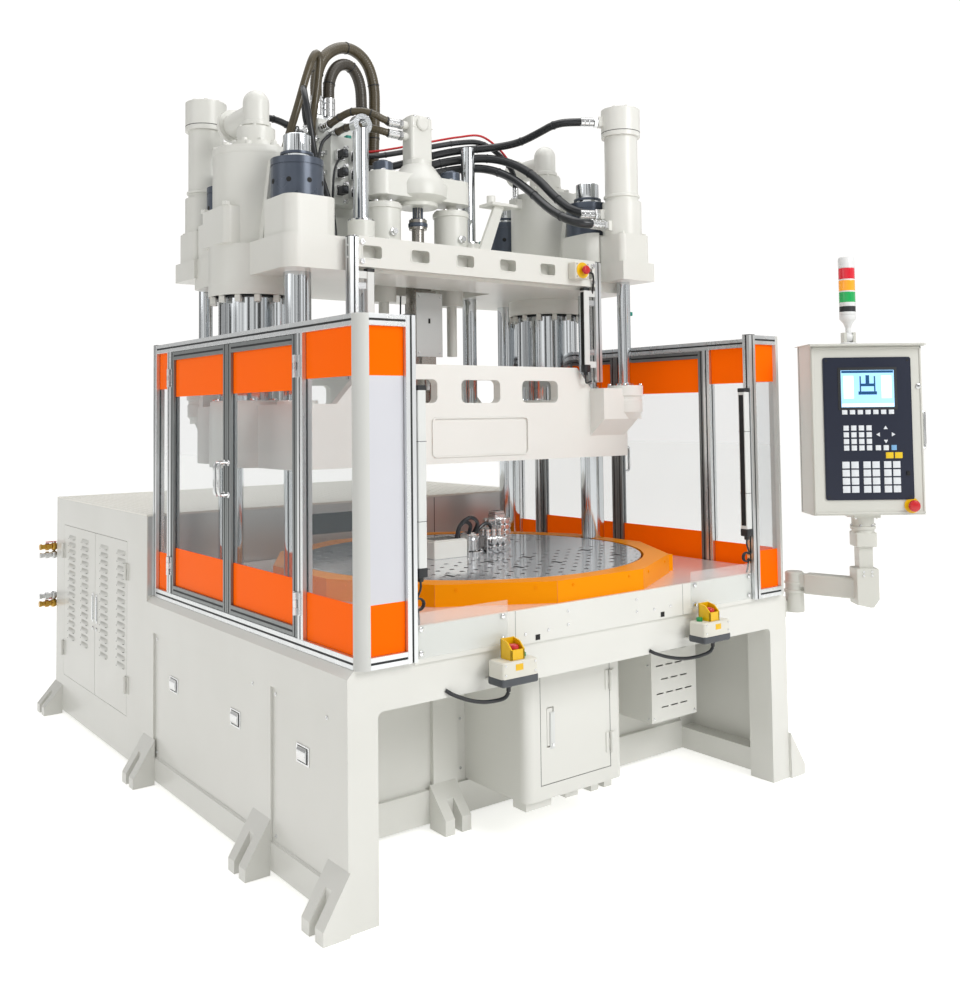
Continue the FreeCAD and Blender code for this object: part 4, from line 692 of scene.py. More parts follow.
def build_fixed_panes():
    """The guard's fixed panes: beside the doors, behind the rear doors and across the front corners."""
    low, high = GUARD_LOW + PROFILE, GUARD_TOP - PROFILE
    x = GUARD_HALF - 20
    parts = []
    for side, turn in (("right", lambda s: s), ("left", mirrored)):
        for y0, y1 in ((CORNER, 390), (1700, 1838)):
            parts += [(turn(solid), name) for solid, name in banded_pane(x, y0, y1, low, high, "clear_acrylic_painted_shade")]
        front = banded_pane(-20, GUARD_INNER + PROFILE, GUARD_HALF - CORNER, low, high,
                            "frosted_acrylic" if side == "left" else "clear_acrylic_painted_shade")
        for solid, finish_name in front:
            points = solid[0][:, [1, 0, 2]] * [1, -1, 1]
            parts.append((turn((points, solid[1])), finish_name))
    piece("guard_panes", parts, replaces=("fixed_panes",))


# ---- base -------------------------------------------------------------------------------
BASE_HALF, BASE_FRONT, BASE_REAR = 1137.0, 33.0, 1878.0
COVERS = ((158, 590), (730, 1790))                      # front and rear end of each side cover


def recessed_grip(y, z, wall):
    """A chromed pull set into a cover: a frame, a dark pocket, and a curved flap across it."""
    turn = np.linspace(0, math.pi, 9)
    flap = np.array([np.stack([wall + 2 + 9 * np.sin(turn), np.full(9, y + offset), z + 24 * np.cos(turn)], -1)
                     for offset in (-32, 32)])
    rim = join(block(wall, wall + 3, y - 46, y + 46, z - 33, z - 27),
               block(wall, wall + 3, y - 46, y + 46, z + 27, z + 33),
               block(wall, wall + 3, y - 46, y - 38, z - 28, z + 28),
               block(wall, wall + 3, y + 38, y + 46, z - 28, z + 28))
    pocket = block(wall, wall + 1.2, y - 40, y + 40, z - 30, z + 30, 0.2)
    return loft(flap[:, ::-1]), rim, pocket


def build_base_details():
    """Screws, pressed edges and pulls of the side covers, the ledges below them and the arch's fillets."""
    face = BASE_HALF - 10
    screws, grips, pockets, seams = [], [], [], []
    head = facing(screw_head(detail().screw_radius * 1000, 3.5), RIGHT)
    for y0, y1 in COVERS:
        screws.append(copies(head, grid_of([face], [y0 + 26, y1 - 26], [146, 649])))
        # The pressed edge round each cover.
        for z in (124, 671):
            seams.append(block(face, face + 2.0, y0 + 4, y1 - 4, z - 2, z + 2, 0.8))
        for y in (y0 + 4, y1 - 4):
            seams.append(block(face, face + 2.0, y - 2, y + 2, 122, 673, 0.8))
    for y in (357, 914, 1560):
        flap, rim, pocket = recessed_grip(y, 485, face)
        grips += [flap, rim]
        pockets.append(pocket)
    # The sloping ledge along the foot of the sides, and weld fillets in the arch's corners.
    ledge = np.array([(face, 124), (face + 8, 120), (face + 8, 116), (face, 116)])
    ledges = [stacked([ledge] * 2, (y1, y0), (0, 2, 1)) for y0, y1 in COVERS]
    turn = np.linspace(0, math.pi / 2, 7)
    corner, radius = np.array([1023, 680]), 22
    arc = np.vstack([corner, corner - radius + radius * np.stack([np.sin(turn), np.cos(turn)], -1)])
    fillet = stacked([arc] * 2, (BASE_FRONT + 20, BASE_FRONT), (0, 2, 1))
    piece("base_cover_details", [(pair(*screws, *grips), "bright_plating"), (pair(*pockets), "shadow_black"),
                                 (pair(*seams, *ledges, fillet), "machine_enamel")])


def build_splash():
    """Front of the deck: screws, seams and cable slots in the splash plate, and the clear shields at its ends."""
    y = BASE_FRONT - 12
    head = facing(screw_head(5.5, 3), FRONT)
    places = [(-404, 851), (-293, 852), (-195, 909), (-195, 859), (170, 909), (170, 862), (270, 858),
              (365, 860)]
    heads = copies(head, [(x, y, z) for x, z in places])
    seams = [block(x - 0.7, x + 0.7, y - 0.5, y, 815, 940, 0.1) for x in (-450, 440)]
    slots = [block(x - 11, x + 11, y - 0.9, y, 822, 842, 0.3, 3, 3) for x in (-345, 318)]
    shield = block(488, 884, y - 5, y - 0.5, 832, 985, 0.6)
    buttons = copies(facing(turned([(9, 0), (9, 3), (5, 5)], 16), FRONT),
                     grid_of([510, 862], [y - 5], [850, 930]))
    piece("splash_screws", [(heads, "bright_plating"), (join(*seams), "grey_plastic"),
                            (join(*slots), "shadow_black"),
                            (pair(buttons), "bright_plating")])
    piece("splash_shields", [(pair(shield), "clear_shield")])


# ---- turntable --------------------------------------------------------------------------
TURN_Y, DISC_TOP, DISC_RADIUS = 900.0, 1020.0, 770.0


def build_turntable():
    """The disc's holes and slots, its chamfered rim, and the water fittings on it."""
    # Clamping holes: rows of chamfered tapped holes, drawn a hair above the disc as ring and dark mouth.
    xs = np.arange(-630, 631, 70.0)
    rows = np.concatenate([np.arange(-700, -140, 70.0), np.arange(175, 735, 70.0)])
    places = grid_of(xs, rows, [DISC_TOP])
    radius = np.hypot(places[:, 0], places[:, 1])
    taken = (np.abs(np.abs(places[:, 0]) - 210) < 20) & (np.abs(np.abs(places[:, 1]) - 330) < 20)
    places = places[(radius < 730) & ~taken] + [0, TURN_Y, 0]
    ring = turned([(13, 0), (13, 0.7), (9.5, 0.9), (9.5, 0.2)], 14)
    mouth = turned([(9.4, 0), (9.4, 0.35)], 12)
    slots = block(-9, 9, -32, 32, 0, 0.8, 0.3, 8.9, 4)
    slot_places = np.array([(x, TURN_Y + side * y, DISC_TOP) for side in (-1, 1) for x in (-455, -105, 105, 455)
                            for y in (280, 480)])
    dots = ring_of(turned([(5, 0), (5, 0.6)], 10), 752, 48, 0, TURN_Y, DISC_TOP)
    chamfer = lathe([(DISC_RADIUS - 0.3, 0), (DISC_RADIUS + 0.25, 0.1), (DISC_RADIUS + 0.25, 6),
                     (DISC_RADIUS - 5, 8.2), (DISC_RADIUS - 6, 8.2)], 120, 0, TURN_Y, DISC_TOP - 8)
    piece("disc_holes", [(copies(ring, places), "bright_plating"), (copies(mouth, places), "shadow_black"),
                         (join(copies(slots, slot_places), dots), "shadow_black"),
                         (chamfer, "ground_steel")], "turntable")
    build_manifold()


def build_manifold():
    """Water fittings on the disc: two banks of knurled knobs, their valve box and bent hoses."""
    top = DISC_TOP
    knob = turned([(13, 0), (15, 3), (15, 13), (12, 16), (12, 19), (15, 22), (15, 32), (11, 35)], 16)
    column = block(208, 262, 973, 1027, top + 155, top + 170, 3)
    levels = top + np.arange(20, 150, 26.0)
    knobs = [copies(facing(knob, FRONT), grid_of([222, 248], [970], levels)),
             copies(facing(knob, LEFT), grid_of([205], [985, 1014], levels)),
             copies(facing(knob, RIGHT), grid_of([265], [985, 1014], levels)),
             copies(knob, grid_of([88, 122, 156], [880, 912, 944], [top + 70])),
             copies(facing(knob, FRONT), grid_of([90, 122, 154], [860], [top + 20, top + 50]))]
    cover = block(-252, -73, 818, 962, top + 0.5, top + 76, 3)
    lid = block(-246, -79, 824, 956, top + 76, top + 81, 2)
    vents = copies(block(-3, 3, -50, 50, 0, 0.8, 0.2), grid_of(np.arange(-230, -90, 15.0), [890], [top + 81]))
    box_screws = screw_rows(4, 3, UP, [-240, -86], [830, 950], [top + 81])
    union = [lathe([(66, 0), (66, 5), (62, 8)], 40, 0, TURN_Y, top + 6),
             lathe([(46, 0), (48, 4), (48, 18), (44, 22), (30, 26), (30, 34)], 40, 0, TURN_Y, top + 62),
             ring_of(screw_head(5, 4), 54, 8, 0, TURN_Y, top + 14)]
    hoses = [bent([(-20, 880, top + 88), (-24, 860, top + 130), (-60, 850, top + 150), (-92, 852, top + 128),
                   (-96, 855, top + 82)], 9),
             bent([(10, 884, top + 90), (8, 850, top + 140), (-40, 836, top + 168), (-96, 838, top + 140),
                   (-116, 842, top + 82)], 9),
             bent([(30, 905, top + 70), (60, 900, top + 112), (100, 900, top + 128), (122, 895, top + 108)], 8)]
    piece("water_fittings", [(join(column, *knobs, *union, box_screws), "bright_plating"),
                             (join(cover, lid), "machine_enamel"), (vents, "shadow_black"),
                             (join(*hoses), "nitrile_rubber")], "turntable")


def build_skirt():
    """Screws in the ring's flats, and the folded joint at each corner of the ring."""
    flat, sides = 862.0, 12
    heads = screw_rows(6, 3, REAR, [-150, 150], [flat], [1000])
    heads = moved(join(*[spun(heads, turn - 90) for turn in np.arange(sides) * 360 / sides]), 0, TURN_Y)
    # The folded joint between two sheets at each corner of the ring.
    corner = flat / math.cos(math.pi / sides)
    seams = ring_of(turned([(1.6, 0), (1.6, 78)], 6), corner - 0.6, sides, 0, TURN_Y, 942, 15)
    piece("skirt_screws", [(heads, "table_orange"), (seams, "guard_orange")])


# ---- clamp ------------------------------------------------------------------------------
RAM_X, RAM_Y = 850.0, 1320.0                            # axis of the right clamp cylinder
QUICK_X, QUICK_Y = 867.0, 755.0                         # axis of the right slim cylinder
TOP_LOW, TOP_HIGH = 2250.0, 2390.0


def build_clamp_cylinders():
    """Bolts, glands, shoulders and pipe collars of the two clamp cylinders."""
    x, y = RAM_X, RAM_Y
    bolts = [ring_of((turned([(17, -30), (17, -2), (15, 0)], 4)), 186, 14, x, y, 2172, 10),
             ring_of(hex_head(13, 12), 92, 8, x, y, 2860, 12), ring_of(screw_head(8, 8), 72, 6, x, y, 2930, 0),
             ring_of(screw_head(14, 16), 172, 10, x, y, 2820, 18),
             copies(hex_head(19, 16), grid_of([795, 1040], [1206, 1434], [2550]))]
    gland = lathe([(165, 0), (196, 0), (204, 6), (205.6, 10), (205.6, 40), (203, 44), (203, 50), (205.6, 54),
                   (205.6, 78)], 64, x, y, 2172)
    wiper = lathe([(163.2, 0), (176, 0), (176, 8), (163.2, 10)], 64, x, y, 2163)
    # Rounded shoulders of the casting: the top rim, and the flange of the pipe bend.
    rim = lathe([(188.4, 0), (190, 8), (188, 24), (178, 34), (160, 37)], 64, x, y, 2785)
    collar = [lathe([(58.4, 0), (66, 2), (66, 18), (58.4, 22)], 40, x, y, 2940),
              lathe([(55.4, 0), (76, 0), (76, 26), (55.4, 30)], 40, x, y + 230, 3000, REAR)]
    piece("cylinder_castings", [(pair(gland, rim, *collar, *bolts), "casting_enamel"),
                                (pair(wiper), "satin_black")])


def build_quick_cylinders():
    """Bolts, caps and collars of the two slim cylinders that open and close the mould quickly."""
    x, y = QUICK_X, QUICK_Y
    parts = [ring_of(screw_head(9, 9), 76, 8, x, y, 3170, 22),
             copies(hex_head(13, 11), grid_of([x - 74, x + 74], [y - 74, y + 74], [2530])),
             lathe([(83, 0), (90, 4), (90, 14), (83, 18)], 40, x, y, 2720)]
    cap = lathe([(97.3, 0), (97.3, 4), (94, 8), (88, 11), (60, 12)], 48, x, y, 3162)
    groove = lathe([(97.5, 0), (97.5, 3)], 48, x, y, 3052)
    both = [join(*parts), cap, groove]
    both = [join(solid, half_turned(solid)) for solid in both]
    rods = lathe([(32.8, 0), (44, 0), (44, 26), (32.8, 28)], 30, x, y, 1770)
    piece("quick_cylinder_details", [(join(*both[:2]), "casting_enamel"), (both[2], "shadow_black")])
    piece("quick_rod_collars", [(join(rods, half_turned(rods)), "bright_plating")], "clamp")


LUG_TOP = 1770.0
TIES = [(side * 830.0, y) for side in (-1, 1) for y in (966.0, 1637.0)]


def build_tie_nuts():
    """Each upper nut: spanner holes round it, a ring and six small discs on its top, and a bright stepped cap on the
    bar's end.
    """
    solids, bright = [], []
    for x, y in TIES:
        solids.append(ring_of(turned([(9, 0), (9, 0.8)], 12), 86, 6, x, y, 2720, 15))
        solids.append(lathe([(58.2, 0), (70, 0), (70, 10), (66, 12), (58.2, 12)], 40, x, y, 2740))
        bright.append(lathe([(57.9, 0), (58.3, 1), (58.3, 90), (55, 94), (20, 94.5), (18, 88)], 48, x, y, 2733))
    holes = []
    for x, y in TIES:
        for angle in np.arange(8) * TAU / 8:
            aim = np.array([math.cos(angle), math.sin(angle), 0.0])
            holes.append(lathe([(11, 0), (11, 1.0)], 12, *(aim * 109.5 + [x, y, 2620]), aim))
    piece("tie_nut_details", [(join(*solids), "blackened_steel"), (join(*holes), "shadow_black"),
                              (join(*bright), "hard_chrome")])


def rolled_lip(x, z, half_x, half_z, corner, depths, steps):
    """A raised lip round an opening in a wall that looks along -Y, at four depths from the outside in."""
    wide = 5.5
    outer = outline(half_x, half_z, corner, steps)
    inner = outline(half_x - wide, half_z - wide, corner - 5, steps)
    return moved(stacked((outer, outer, inner, inner), depths, (0, 2, 1), hoop), x, 0, z)


def build_platens():
    """Edges, bolts and seats on the two platens and the top beam."""
    # Top beam: a rolled lip round each window, and bolts at its ends and on its top.
    rims = [rolled_lip(x, 2327, 51.5, 31.5, 17, (746, 743.4, 743.4, 748), 5) for x in (120, 360, 600)]
    bolts = [screw_rows(12, 8, FRONT, [648], [745], [2285, 2365]),
             screw_rows(15, 16, UP, [480, 560, 640], [830], [TOP_HIGH]),
             screw_rows(13, 14, UP, [345], [1180, 1240, 1360, 1420], [TOP_HIGH])]
    piece("top_platen_details", [(pair(*rims), "casting_enamel"), (pair(*bolts), "bright_plating")])
    # Moving platen: lip round the nameplate's bare recess, guide bushes, rings round the rams, and the slim
    # cylinders' lugs.
    bushes = [lathe([(58.6, 0), (84, 0), (84, 12), (80, 16), (58.6, 16)], 40, x, y, 1700) for x, y in TIES]
    heads = [ring_of(screw_head(6, 6), 74, 6, x, y, 1712, 30) for x, y in TIES]
    ram_ring = [lathe([(163.2, 0), (198, 0), (198, 14), (190, 20), (163.2, 20)], 64, side * RAM_X, RAM_Y, 1700)
                for side in (-1, 1)]
    ram_bolts = [ring_of(screw_head(11, 11), 180, 12, side * RAM_X, RAM_Y, 1718) for side in (-1, 1)]
    plate_lip = rolled_lip(0, 1551, 271.5, 87.5, 23, (797, 793.6, 793.6, 797.8), 6)
    lug_pair = screw_rows(10, 10, UP, [812, 922], [702, 808], [LUG_TOP + 14])
    lug_boss = lathe([(60, -150), (78, -122), (84, -116), (84, -60), (80, -56), (80, -40), (88, -36), (88, 10),
                      (84, 14), (46, 14)], 48,
                     QUICK_X, QUICK_Y, LUG_TOP)
    # The platen's details share its lightened enamel, which is painted light.
    piece("moving_platen_details", [(join(lug_boss, half_turned(lug_boss), *bushes, *ram_ring, plate_lip),
                                     "platen_lightened_enamel"),
                                    (join(*heads, *ram_bolts, lug_pair, half_turned(lug_pair)),
                                     "bright_plating")],
          "clamp")


# ---- injection unit ---------------------------------------------------------------------
CYLINDER_X = 200.0                                      # axis of the right injection cylinder
STAYS = ((400, 1420), (-400, 1170))                     # the two stays on the top platen


def build_injection():
    """Injection cylinders, heaters, head, motor coupling, and the stays on the top platen."""
    y = SCREW_Y
    bolts = [ring_of(screw_head(10, 10), 66, 6, side * CYLINDER_X, y, 2668, 30) for side in (-1, 1)]
    bolts.append(screw_rows(13, 13, UP, [-300, -100, 100, 300], [1175, 1425], [2420]))
    collars = [lathe([(85.3, 0), (92, 3), (92, 22), (85.3, 26)], 48, side * CYLINDER_X, y, z) for side in (-1, 1)
               for z in (2425, 2636)]
    ports = [lathe([(20, 0), (20, 16), (14, 18), (14, 30)], 6, side * CYLINDER_X, y - 84, 2520, FRONT)
             for side in (-1, 1)]
    heaters = [lathe([(62.6, 0), (67, 2), (67, 74), (62.6, 76)], 40, 0, y, z)
               for z in (1640, 1760, 1880, 2000, 2120)]
    clamps = [block(-12, 12, y - 78, y - 66, z + 8, z + 68, 3) for z in (1640, 1760)]
    shield = block(-74, 78, y - 92, y - 88, 1930, 2240, 1)
    keyhole = block(-6, 6, y - 92.8, y - 91.8, 2092, 2116, 0.3, 5.9, 4)
    shield_bolts = screw_rows(5, 4, FRONT, [-60, 64], [y - 92], [1950, 2220])
    thermo = [bent([(20, y + 66, 1700), (40, y + 92, 1780), (46, y + 88, 2000), (44, y + 90, 2240)], 4),
              bent([(-26, y + 64, 1820), (-48, y + 90, 1900), (-50, y + 88, 2100), (-46, y + 90, 2240)], 4)]
    piece("injection_details", [(join(*collars), "casting_enamel"),
                                (join(*bolts, *ports, *clamps), "bright_plating"),
                                (join(*heaters), "bare_barrel"), (join(*thermo), "satin_black"),
                                (shield, "sheet_steel"), (keyhole, "shadow_black"),
                                (shield_bolts, "bright_plating")],
          "injection_unit")
    top = 2815
    head_bolts = [ring_of(hex_head(12, 10), 58, 6, side * CYLINDER_X, y, top + 2) for side in (-1, 1)]
    head_bolts += [ring_of(screw_head(7, 7), 58, 4, 0, y, 3112, 45)]
    # The faceted bearing housing below the motor, and its clamped ring.
    housing = moved(spun(turned([(96, 2688), (104, 2694), (128, 2702), (146, 2716), (148, 2768), (132, 2800),
                                 (80, 2872),
                                 (66, 2880)], 14), 12), 0, y)
    housing_ring = lathe([(95.4, 2669), (99, 2671), (99, 2686), (95.4, 2690)], 48, 0, y, 0)
    nuts = [lathe([(46, 0), (49, 2), (49, 48), (45, 52), (26, 52), (26, 60), (22, 62)], 28, side * CYLINDER_X,
                  y, top + 2)
            for side in (-1, 1)]
    ribs = [block(-64, 64, y - 47, y - 44.5, z, z + 5, 0.8) for z in (2905, 3060)]
    cap = block(-52, 52, y - 36, y + 36, 3112, 3124, 5, 10, 3)
    side_cap = lathe([(34, 0), (34, 10), (28, 14)], 30, 0, y - 45, 3080, FRONT)
    piece("head_details", [(join(*head_bolts), "bright_plating"), (join(*nuts), "blackened_steel"),
                           (join(cap, side_cap, housing, housing_ring, *ribs), "casting_enamel")],
          "plasticising_head")
    coupling = [lathe([(44.4, 0), (48, 3), (48, 18), (44.4, 21)], 36, 0, y, 2572),
                ring_of(screw_head(6, 6), 34, 6, 0, y, 2608),
                ring_of(turned([(4, 0), (4, 84)], 8), 22, 10, 0, y, 2612)]
    piece("coupling_details", [(join(*coupling), "blackened_steel")], "screw_shaft")
    # Brackets and the long sensor rail that stand on the top platen.
    stay = [lathe([(63, 0), (72, 2), (72, 22), (63, 26)], 40, x, yy, TOP_HIGH) for x, yy in STAYS]
    stay_bolts = [ring_of(screw_head(8, 8), 66, 6, x, yy, TOP_HIGH + 24) for x, yy in STAYS]
    bush_top = [lathe([(37.4, 0), (60, 0), (60, 8), (37.4, 9)], 40, x, yy, 2540) for x, yy in STAYS]
    scale = straight((948, 800, 1830), (948, 800, TOP_LOW), 5)
    magnet = join(block(934, 962, 784, 816, 2140, 2160, 3), block(452, 476, 1372, 1400, 2545, 2560, 3))
    piece("position_scale", [(scale, "bright_plating"), (magnet, "teal_plastic")])
    piece("bush_details", [(join(*stay), "casting_enamel"), (join(*stay_bolts, *bush_top), "bright_plating")])


# ---- valve block and hoses --------------------------------------------------------------
def solenoid(length_mm):
    """A solenoid valve drawn upwards: body, coil, and its rounded cap."""
    body = block(-22, 22, -26, 26, 0, 34, 2)
    coil = block(-18, 18, -20, 20, 34, 34 + length_mm, 4, 6, 3)
    cap = turned([(11, 34 + length_mm), (11, 42 + length_mm), (7, 48 + length_mm)], 16)
    return body, coil, cap


def build_valves():
    """Solenoid valves, fittings, a gauge and small pipes on the valve block, and the red lead."""
    bodies, coils, caps, teal, brass, plates = [], [], [], [], [], []
    # Coils stand out of the stack's front and of the tower's two sides.
    for x, y, z, aim in ([(x, 1560, z, FRONT) for x in (-300, -220) for z in (2760, 2850, 2940)]
                         + [(-370, 1700, z, LEFT) for z in (2620, 2720, 2820, 2920, 3010)]
                         + [(-150, 1755, z, RIGHT) for z in (2620, 2700)]):
        body, coil, cap = solenoid(44)
        for solid, store in ((body, bodies), (coil, coils), (cap, caps)):
            store.append(moved(facing(solid, aim), x, y, z))
    teal.append(copies(block(-14, 14, -16, 16, 0, 24, 3), grid_of([-300, -220], [1600], [3040])))
    teal.append(copies(facing(block(-16, 16, -12, 12, 0, 20, 3), RIGHT), grid_of([-150], [1670], [2660, 2770])))
    brass.append(copies(facing(turned([(15, 0), (15, 14), (10, 16), (10, 34), (13, 36), (13, 44)], 6), FRONT),
                        grid_of([-345], [1640], [2680, 2770, 2860, 2960])))
    brass.append(copies(facing(turned([(12, 0), (12, 10), (8, 12), (8, 26)], 6), FRONT),
                        grid_of([-260], [1560], [2715, 2805, 2895, 2985])))
    plates.append(screw_rows(6, 6, UP, [-355, -165], [1655, 1775], [3140]))
    plates.append(screw_rows(6, 5, FRONT, [-357, -163], [1640], np.arange(2660, 3130, 60.0)))
    plates.append(block(-330, -190, 1640, 1646, 2410, 2530, 2))
    aim = np.array([-0.6, -0.8, 0])
    gauge = lathe([(34, 0), (36, 3), (36, 20), (32, 24)], 32, -395, 1590, 2700, aim)
    dial = lathe([(31, 0), (31, 1.0)], 32, *(aim * 24 + [-395, 1590, 2700]), aim)
    neck = straight((-395, 1600, 2676), (-395, 1606, 2640), 7)
    piece("valve_stack", [(join(*bodies, *plates), "bright_plating"), (join(*coils), "satin_black"),
                          (join(*caps), "grey_plastic"), (join(*teal), "teal_plastic"),
                          (join(*brass), "bright_plating"),
                          (join(gauge, neck), "bright_plating"), (dial, "white_plastic")])
    small = [bent([(-150, 1740, 2640), (-110, 1730, 2700), (-96, 1716, 2820), (-120, 1706, 2960),
                   (-150, 1706, 3030)], 7),
             bent([(-340, 1640, 2700), (-380, 1600, 2790), (-398, 1580, 2880), (-385, 1570, 2990),
                   (-340, 1560, 3045)], 8),
             bent([(-240, 1516, 2850), (-180, 1500, 2790), (-150, 1490, 2700), (-155, 1500, 2600),
                   (-200, 1600, 2540)], 6),
             bent([(-300, 1516, 2940), (-350, 1500, 2860), (-360, 1505, 2740), (-330, 1560, 2640)], 6)]
    red_lead = bent([(-150, 1690, 3030), (-60, 1668, 3020), (80, 1628, 3050), (250, 1559, 3094),
                     (400, 1503, 3131),
                     (514, 1449, 3141), (612, 1402, 3064), (650, 1352, 2960), (655, 1330, 2850)], 6)
    piece("valve_leads", [(join(*small), "satin_black"), (red_lead, "signal_red")])


def port_end(x, y, z, radius, angle, run):
    """The last two points of a hose that arrives square on a port of an upright cylinder."""
    aim = np.array([math.cos(math.radians(angle)), math.sin(math.radians(angle)), 0])
    return [tuple(np.array([x, y, z]) + aim * (radius + 18 + out)) for out in (run, 0)]


HOSES = {
    "return_hose_outer": (60, "olive_wrap", [(-335, 1715, 3140), (-335, 1715, 3250), (-338, 1718, 3380),
                          (-280, 1728, 3510), (-150, 1742, 3585), (-20, 1755, 3545), (38, 1762, 3420),
                          (40, 1765, 3250), (32, 1765, 3050), (25, 1765, 2850), (25, 1765, 2610)]),
    "return_hose_inner": (60, "umber_wrap", [(-265, 1715, 3140), (-265, 1715, 3250), (-262, 1720, 3370),
                          (-205, 1732, 3470), (-115, 1746, 3490), (-50, 1758, 3410), (-40, 1764, 3270),
                          (-43, 1765, 3060), (-45, 1765, 2850), (-45, 1765, 2610)]),
    "motor_hose_upper": (36, "olive_wrap", [(-345, 1640, 3092), (-345, 1560, 3092), (-341, 1465, 3108),
                         (-318, 1375, 3122), (-255, 1318, 3112), (-170, 1300, 3072), (-90, 1300, 3072)]),
    "motor_hose_lower": (36, "olive_wrap", [(-300, 1640, 3062), (-300, 1560, 3062), (-296, 1470, 3068),
                         (-275, 1390, 3058), (-225, 1325, 3036), (-155, 1300, 3017), (-90, 1300, 3017)]),
    "right_cap_hose": (40, "nitrile_rubber", [(-150, 1700, 2930), (-50, 1700, 2930), (90, 1660, 2960),
                       (250, 1580, 3020), (410, 1505, 3062), (540, 1400, 3070), (610, 1260, 3075), (630, 1120, 3100),
                       (640, 990, 3125), *port_end(QUICK_X, QUICK_Y, 3110, 97, 150, 110)]),
    "right_base_hose_upper": (44, "nitrile_rubber", [(-150, 1700, 2870), (-50, 1700, 2870), (90, 1652, 2902),
                              (250, 1578, 2970), (410, 1506, 3012), (540, 1400, 3018), (610, 1270, 2965),
                              (640, 1130, 2865), (645, 1000, 2740), *port_end(QUICK_X, QUICK_Y, 2640, 97, 150, 110)]),
    "right_base_hose_lower": (44, "nitrile_rubber", [(-150, 1690, 2810), (-50, 1690, 2810), (90, 1648, 2846),
                              (250, 1580, 2921), (410, 1512, 2963), (530, 1425, 2966), (588, 1290, 2900),
                              (604, 1150, 2798), (595, 1010, 2690), (575, 880, 2620), (590, 775, 2575),
                              *port_end(QUICK_X, QUICK_Y, 2575, 97, 180, 90)]),
    "right_clamp_hose": (28, "nitrile_rubber", [(-150, 1665, 2990), (-60, 1665, 2990), (80, 1625, 3022),
                         (250, 1556, 3066), (400, 1500, 3102), (514, 1446, 3112), (606, 1394, 3036),
                         (637, 1330, 2940), (641, 1320, 2870), (641, 1320, 2790)]),
    "left_cap_hose": (34, "nitrile_rubber", [(-370, 1740, 3090), (-445, 1740, 3090), (-520, 1733, 3118),
                      (-600, 1728, 3126), *port_end(-QUICK_X, 2 * SCREW_Y - QUICK_Y, 3110, 97, -30, 100)]),
}


# Two more hoses of the valve block, in front of the return hoses.
LOOSE_HOSES = ((38, "olive_wrap", [(-575, 1640, 2860), (-557, 1610, 2977), (-516, 1580, 3138),
                                   (-470, 1570, 3311),
                                   (-420, 1580, 3445), (-376, 1600, 3450), (-386, 1605, 3310),
                                   (-402, 1610, 3180),
                                   (-404, 1640, 3080), (-392, 1655, 3040), (-368, 1660, 3030)]),
               (30, "nitrile_rubber", [(-372, 1690, 3066), (-420, 1670, 3100), (-450, 1630, 3220),
                                       (-490, 1560, 3260),
                                       (-526, 1480, 3200), (-520, 1440, 3060), (-496, 1440, 2904),
                                       (-456, 1440, 2781),
                                       (-408, 1440, 2659), (-387, 1440, 2530), (-386, 1440, 2391)]))


def spline_path(points):
    """The smooth line of a hose: a NURBS spline of order 3 with the route's points as its control points."""
    curve = bpy.data.curves.new("route", "CURVE")
    curve.dimensions = "3D"
    spline = curve.splines.new("NURBS")
    spline.points.add(len(points) - 1)
    flat = np.column_stack([(np.array(points) + FRONT_POINT) / 1000, np.ones(len(points))])
    spline.points.foreach_set("co", flat.ravel())
    spline.order_u = 3
    spline.use_endpoint_u = True
    spline.resolution_u = 24
    holder = bpy.data.objects.new("route", curve)
    line = bpy.data.meshes.new_from_object(holder)
    path = np.empty(len(line.vertices) * 3)
    line.vertices.foreach_get("co", path)
    bpy.data.objects.remove(holder)
    return path.reshape(-1, 3)


def even_path(path, step):
    """The path's points again, at an even spacing along its length."""
    run = np.concatenate([[0], np.cumsum(np.linalg.norm(np.diff(path, axis=0), axis=1))])
    at = np.linspace(0, run[-1], max(int(run[-1] / step), 8))
    return np.stack([np.interp(at, run, path[:, k]) for k in range(3)], -1), run[-1]


def end_fittings(line, diameter):
    """A fitting on each end of a hose's line, its sleeve along the hose."""
    return join(*[moved(facing(fitting(diameter * 0.56), line[inner] - line[end]), *line[end])
                  for end, inner in ((0, 1), (-1, -2))])


def build_hoses():
    """Each hose along its route, with its fittings and ties."""
    pitch = detail().spiral_pitch * 1000
    for name, (diameter, wrap, points) in HOSES.items():
        path = spline_path(points)
        wrapped = wrap != "nitrile_rubber"
        stations, total = even_path(path, 0.0032 if wrapped else 0.012)
        local = stations * 1000 - FRONT_POINT
        radius = diameter / 2 - (0.4 if wrapped else 0.0)
        skin = tube(local, radius, 18, 1.6 if wrapped else 0.0, pitch)
        hose = piece(f"{name}_skin", [(skin, wrap)], replaces=(name,), sharp=80)
        bands = []
        for share in (0.16, 0.33, 0.5, 0.68, 0.85):
            k = int(share * (len(local) - 4)) + 1
            aim = local[k + 1] - local[k]
            low, high = diameter / 2 + 0.4, diameter / 2 + 2.2
            bands.append(lathe([(low, -3), (high, -2), (high, 2), (low, 3)], 20, *local[k], aim))
        ends_piece = piece(f"{name}_fittings", [(end_fittings(local, diameter), "bright_plating")])
        ties_piece = piece(f"{name}_ties", [(join(*bands), "satin_black")])


def build_loose_hoses():
    """The two hoses in front of the return hoses."""
    parts = []
    for diameter, wrap, points in LOOSE_HOSES:
        stations, _ = even_path(spline_path(points), 0.012)
        local = stations * 1000 - FRONT_POINT
        parts += [(tube(local, diameter / 2, 16), wrap), (end_fittings(local, diameter), "bright_plating")]
    piece("loose_hoses", parts, sharp=60)


# ---- buttons, curtains ------------------------------------------------------------------
HAND_X, HAND_FRONT, HAND_TOP = 520.0, -88.0, 815.0
BOX_LOW, BOX_TOP = 713.0, 794.0
CURTAIN_X = 860.0


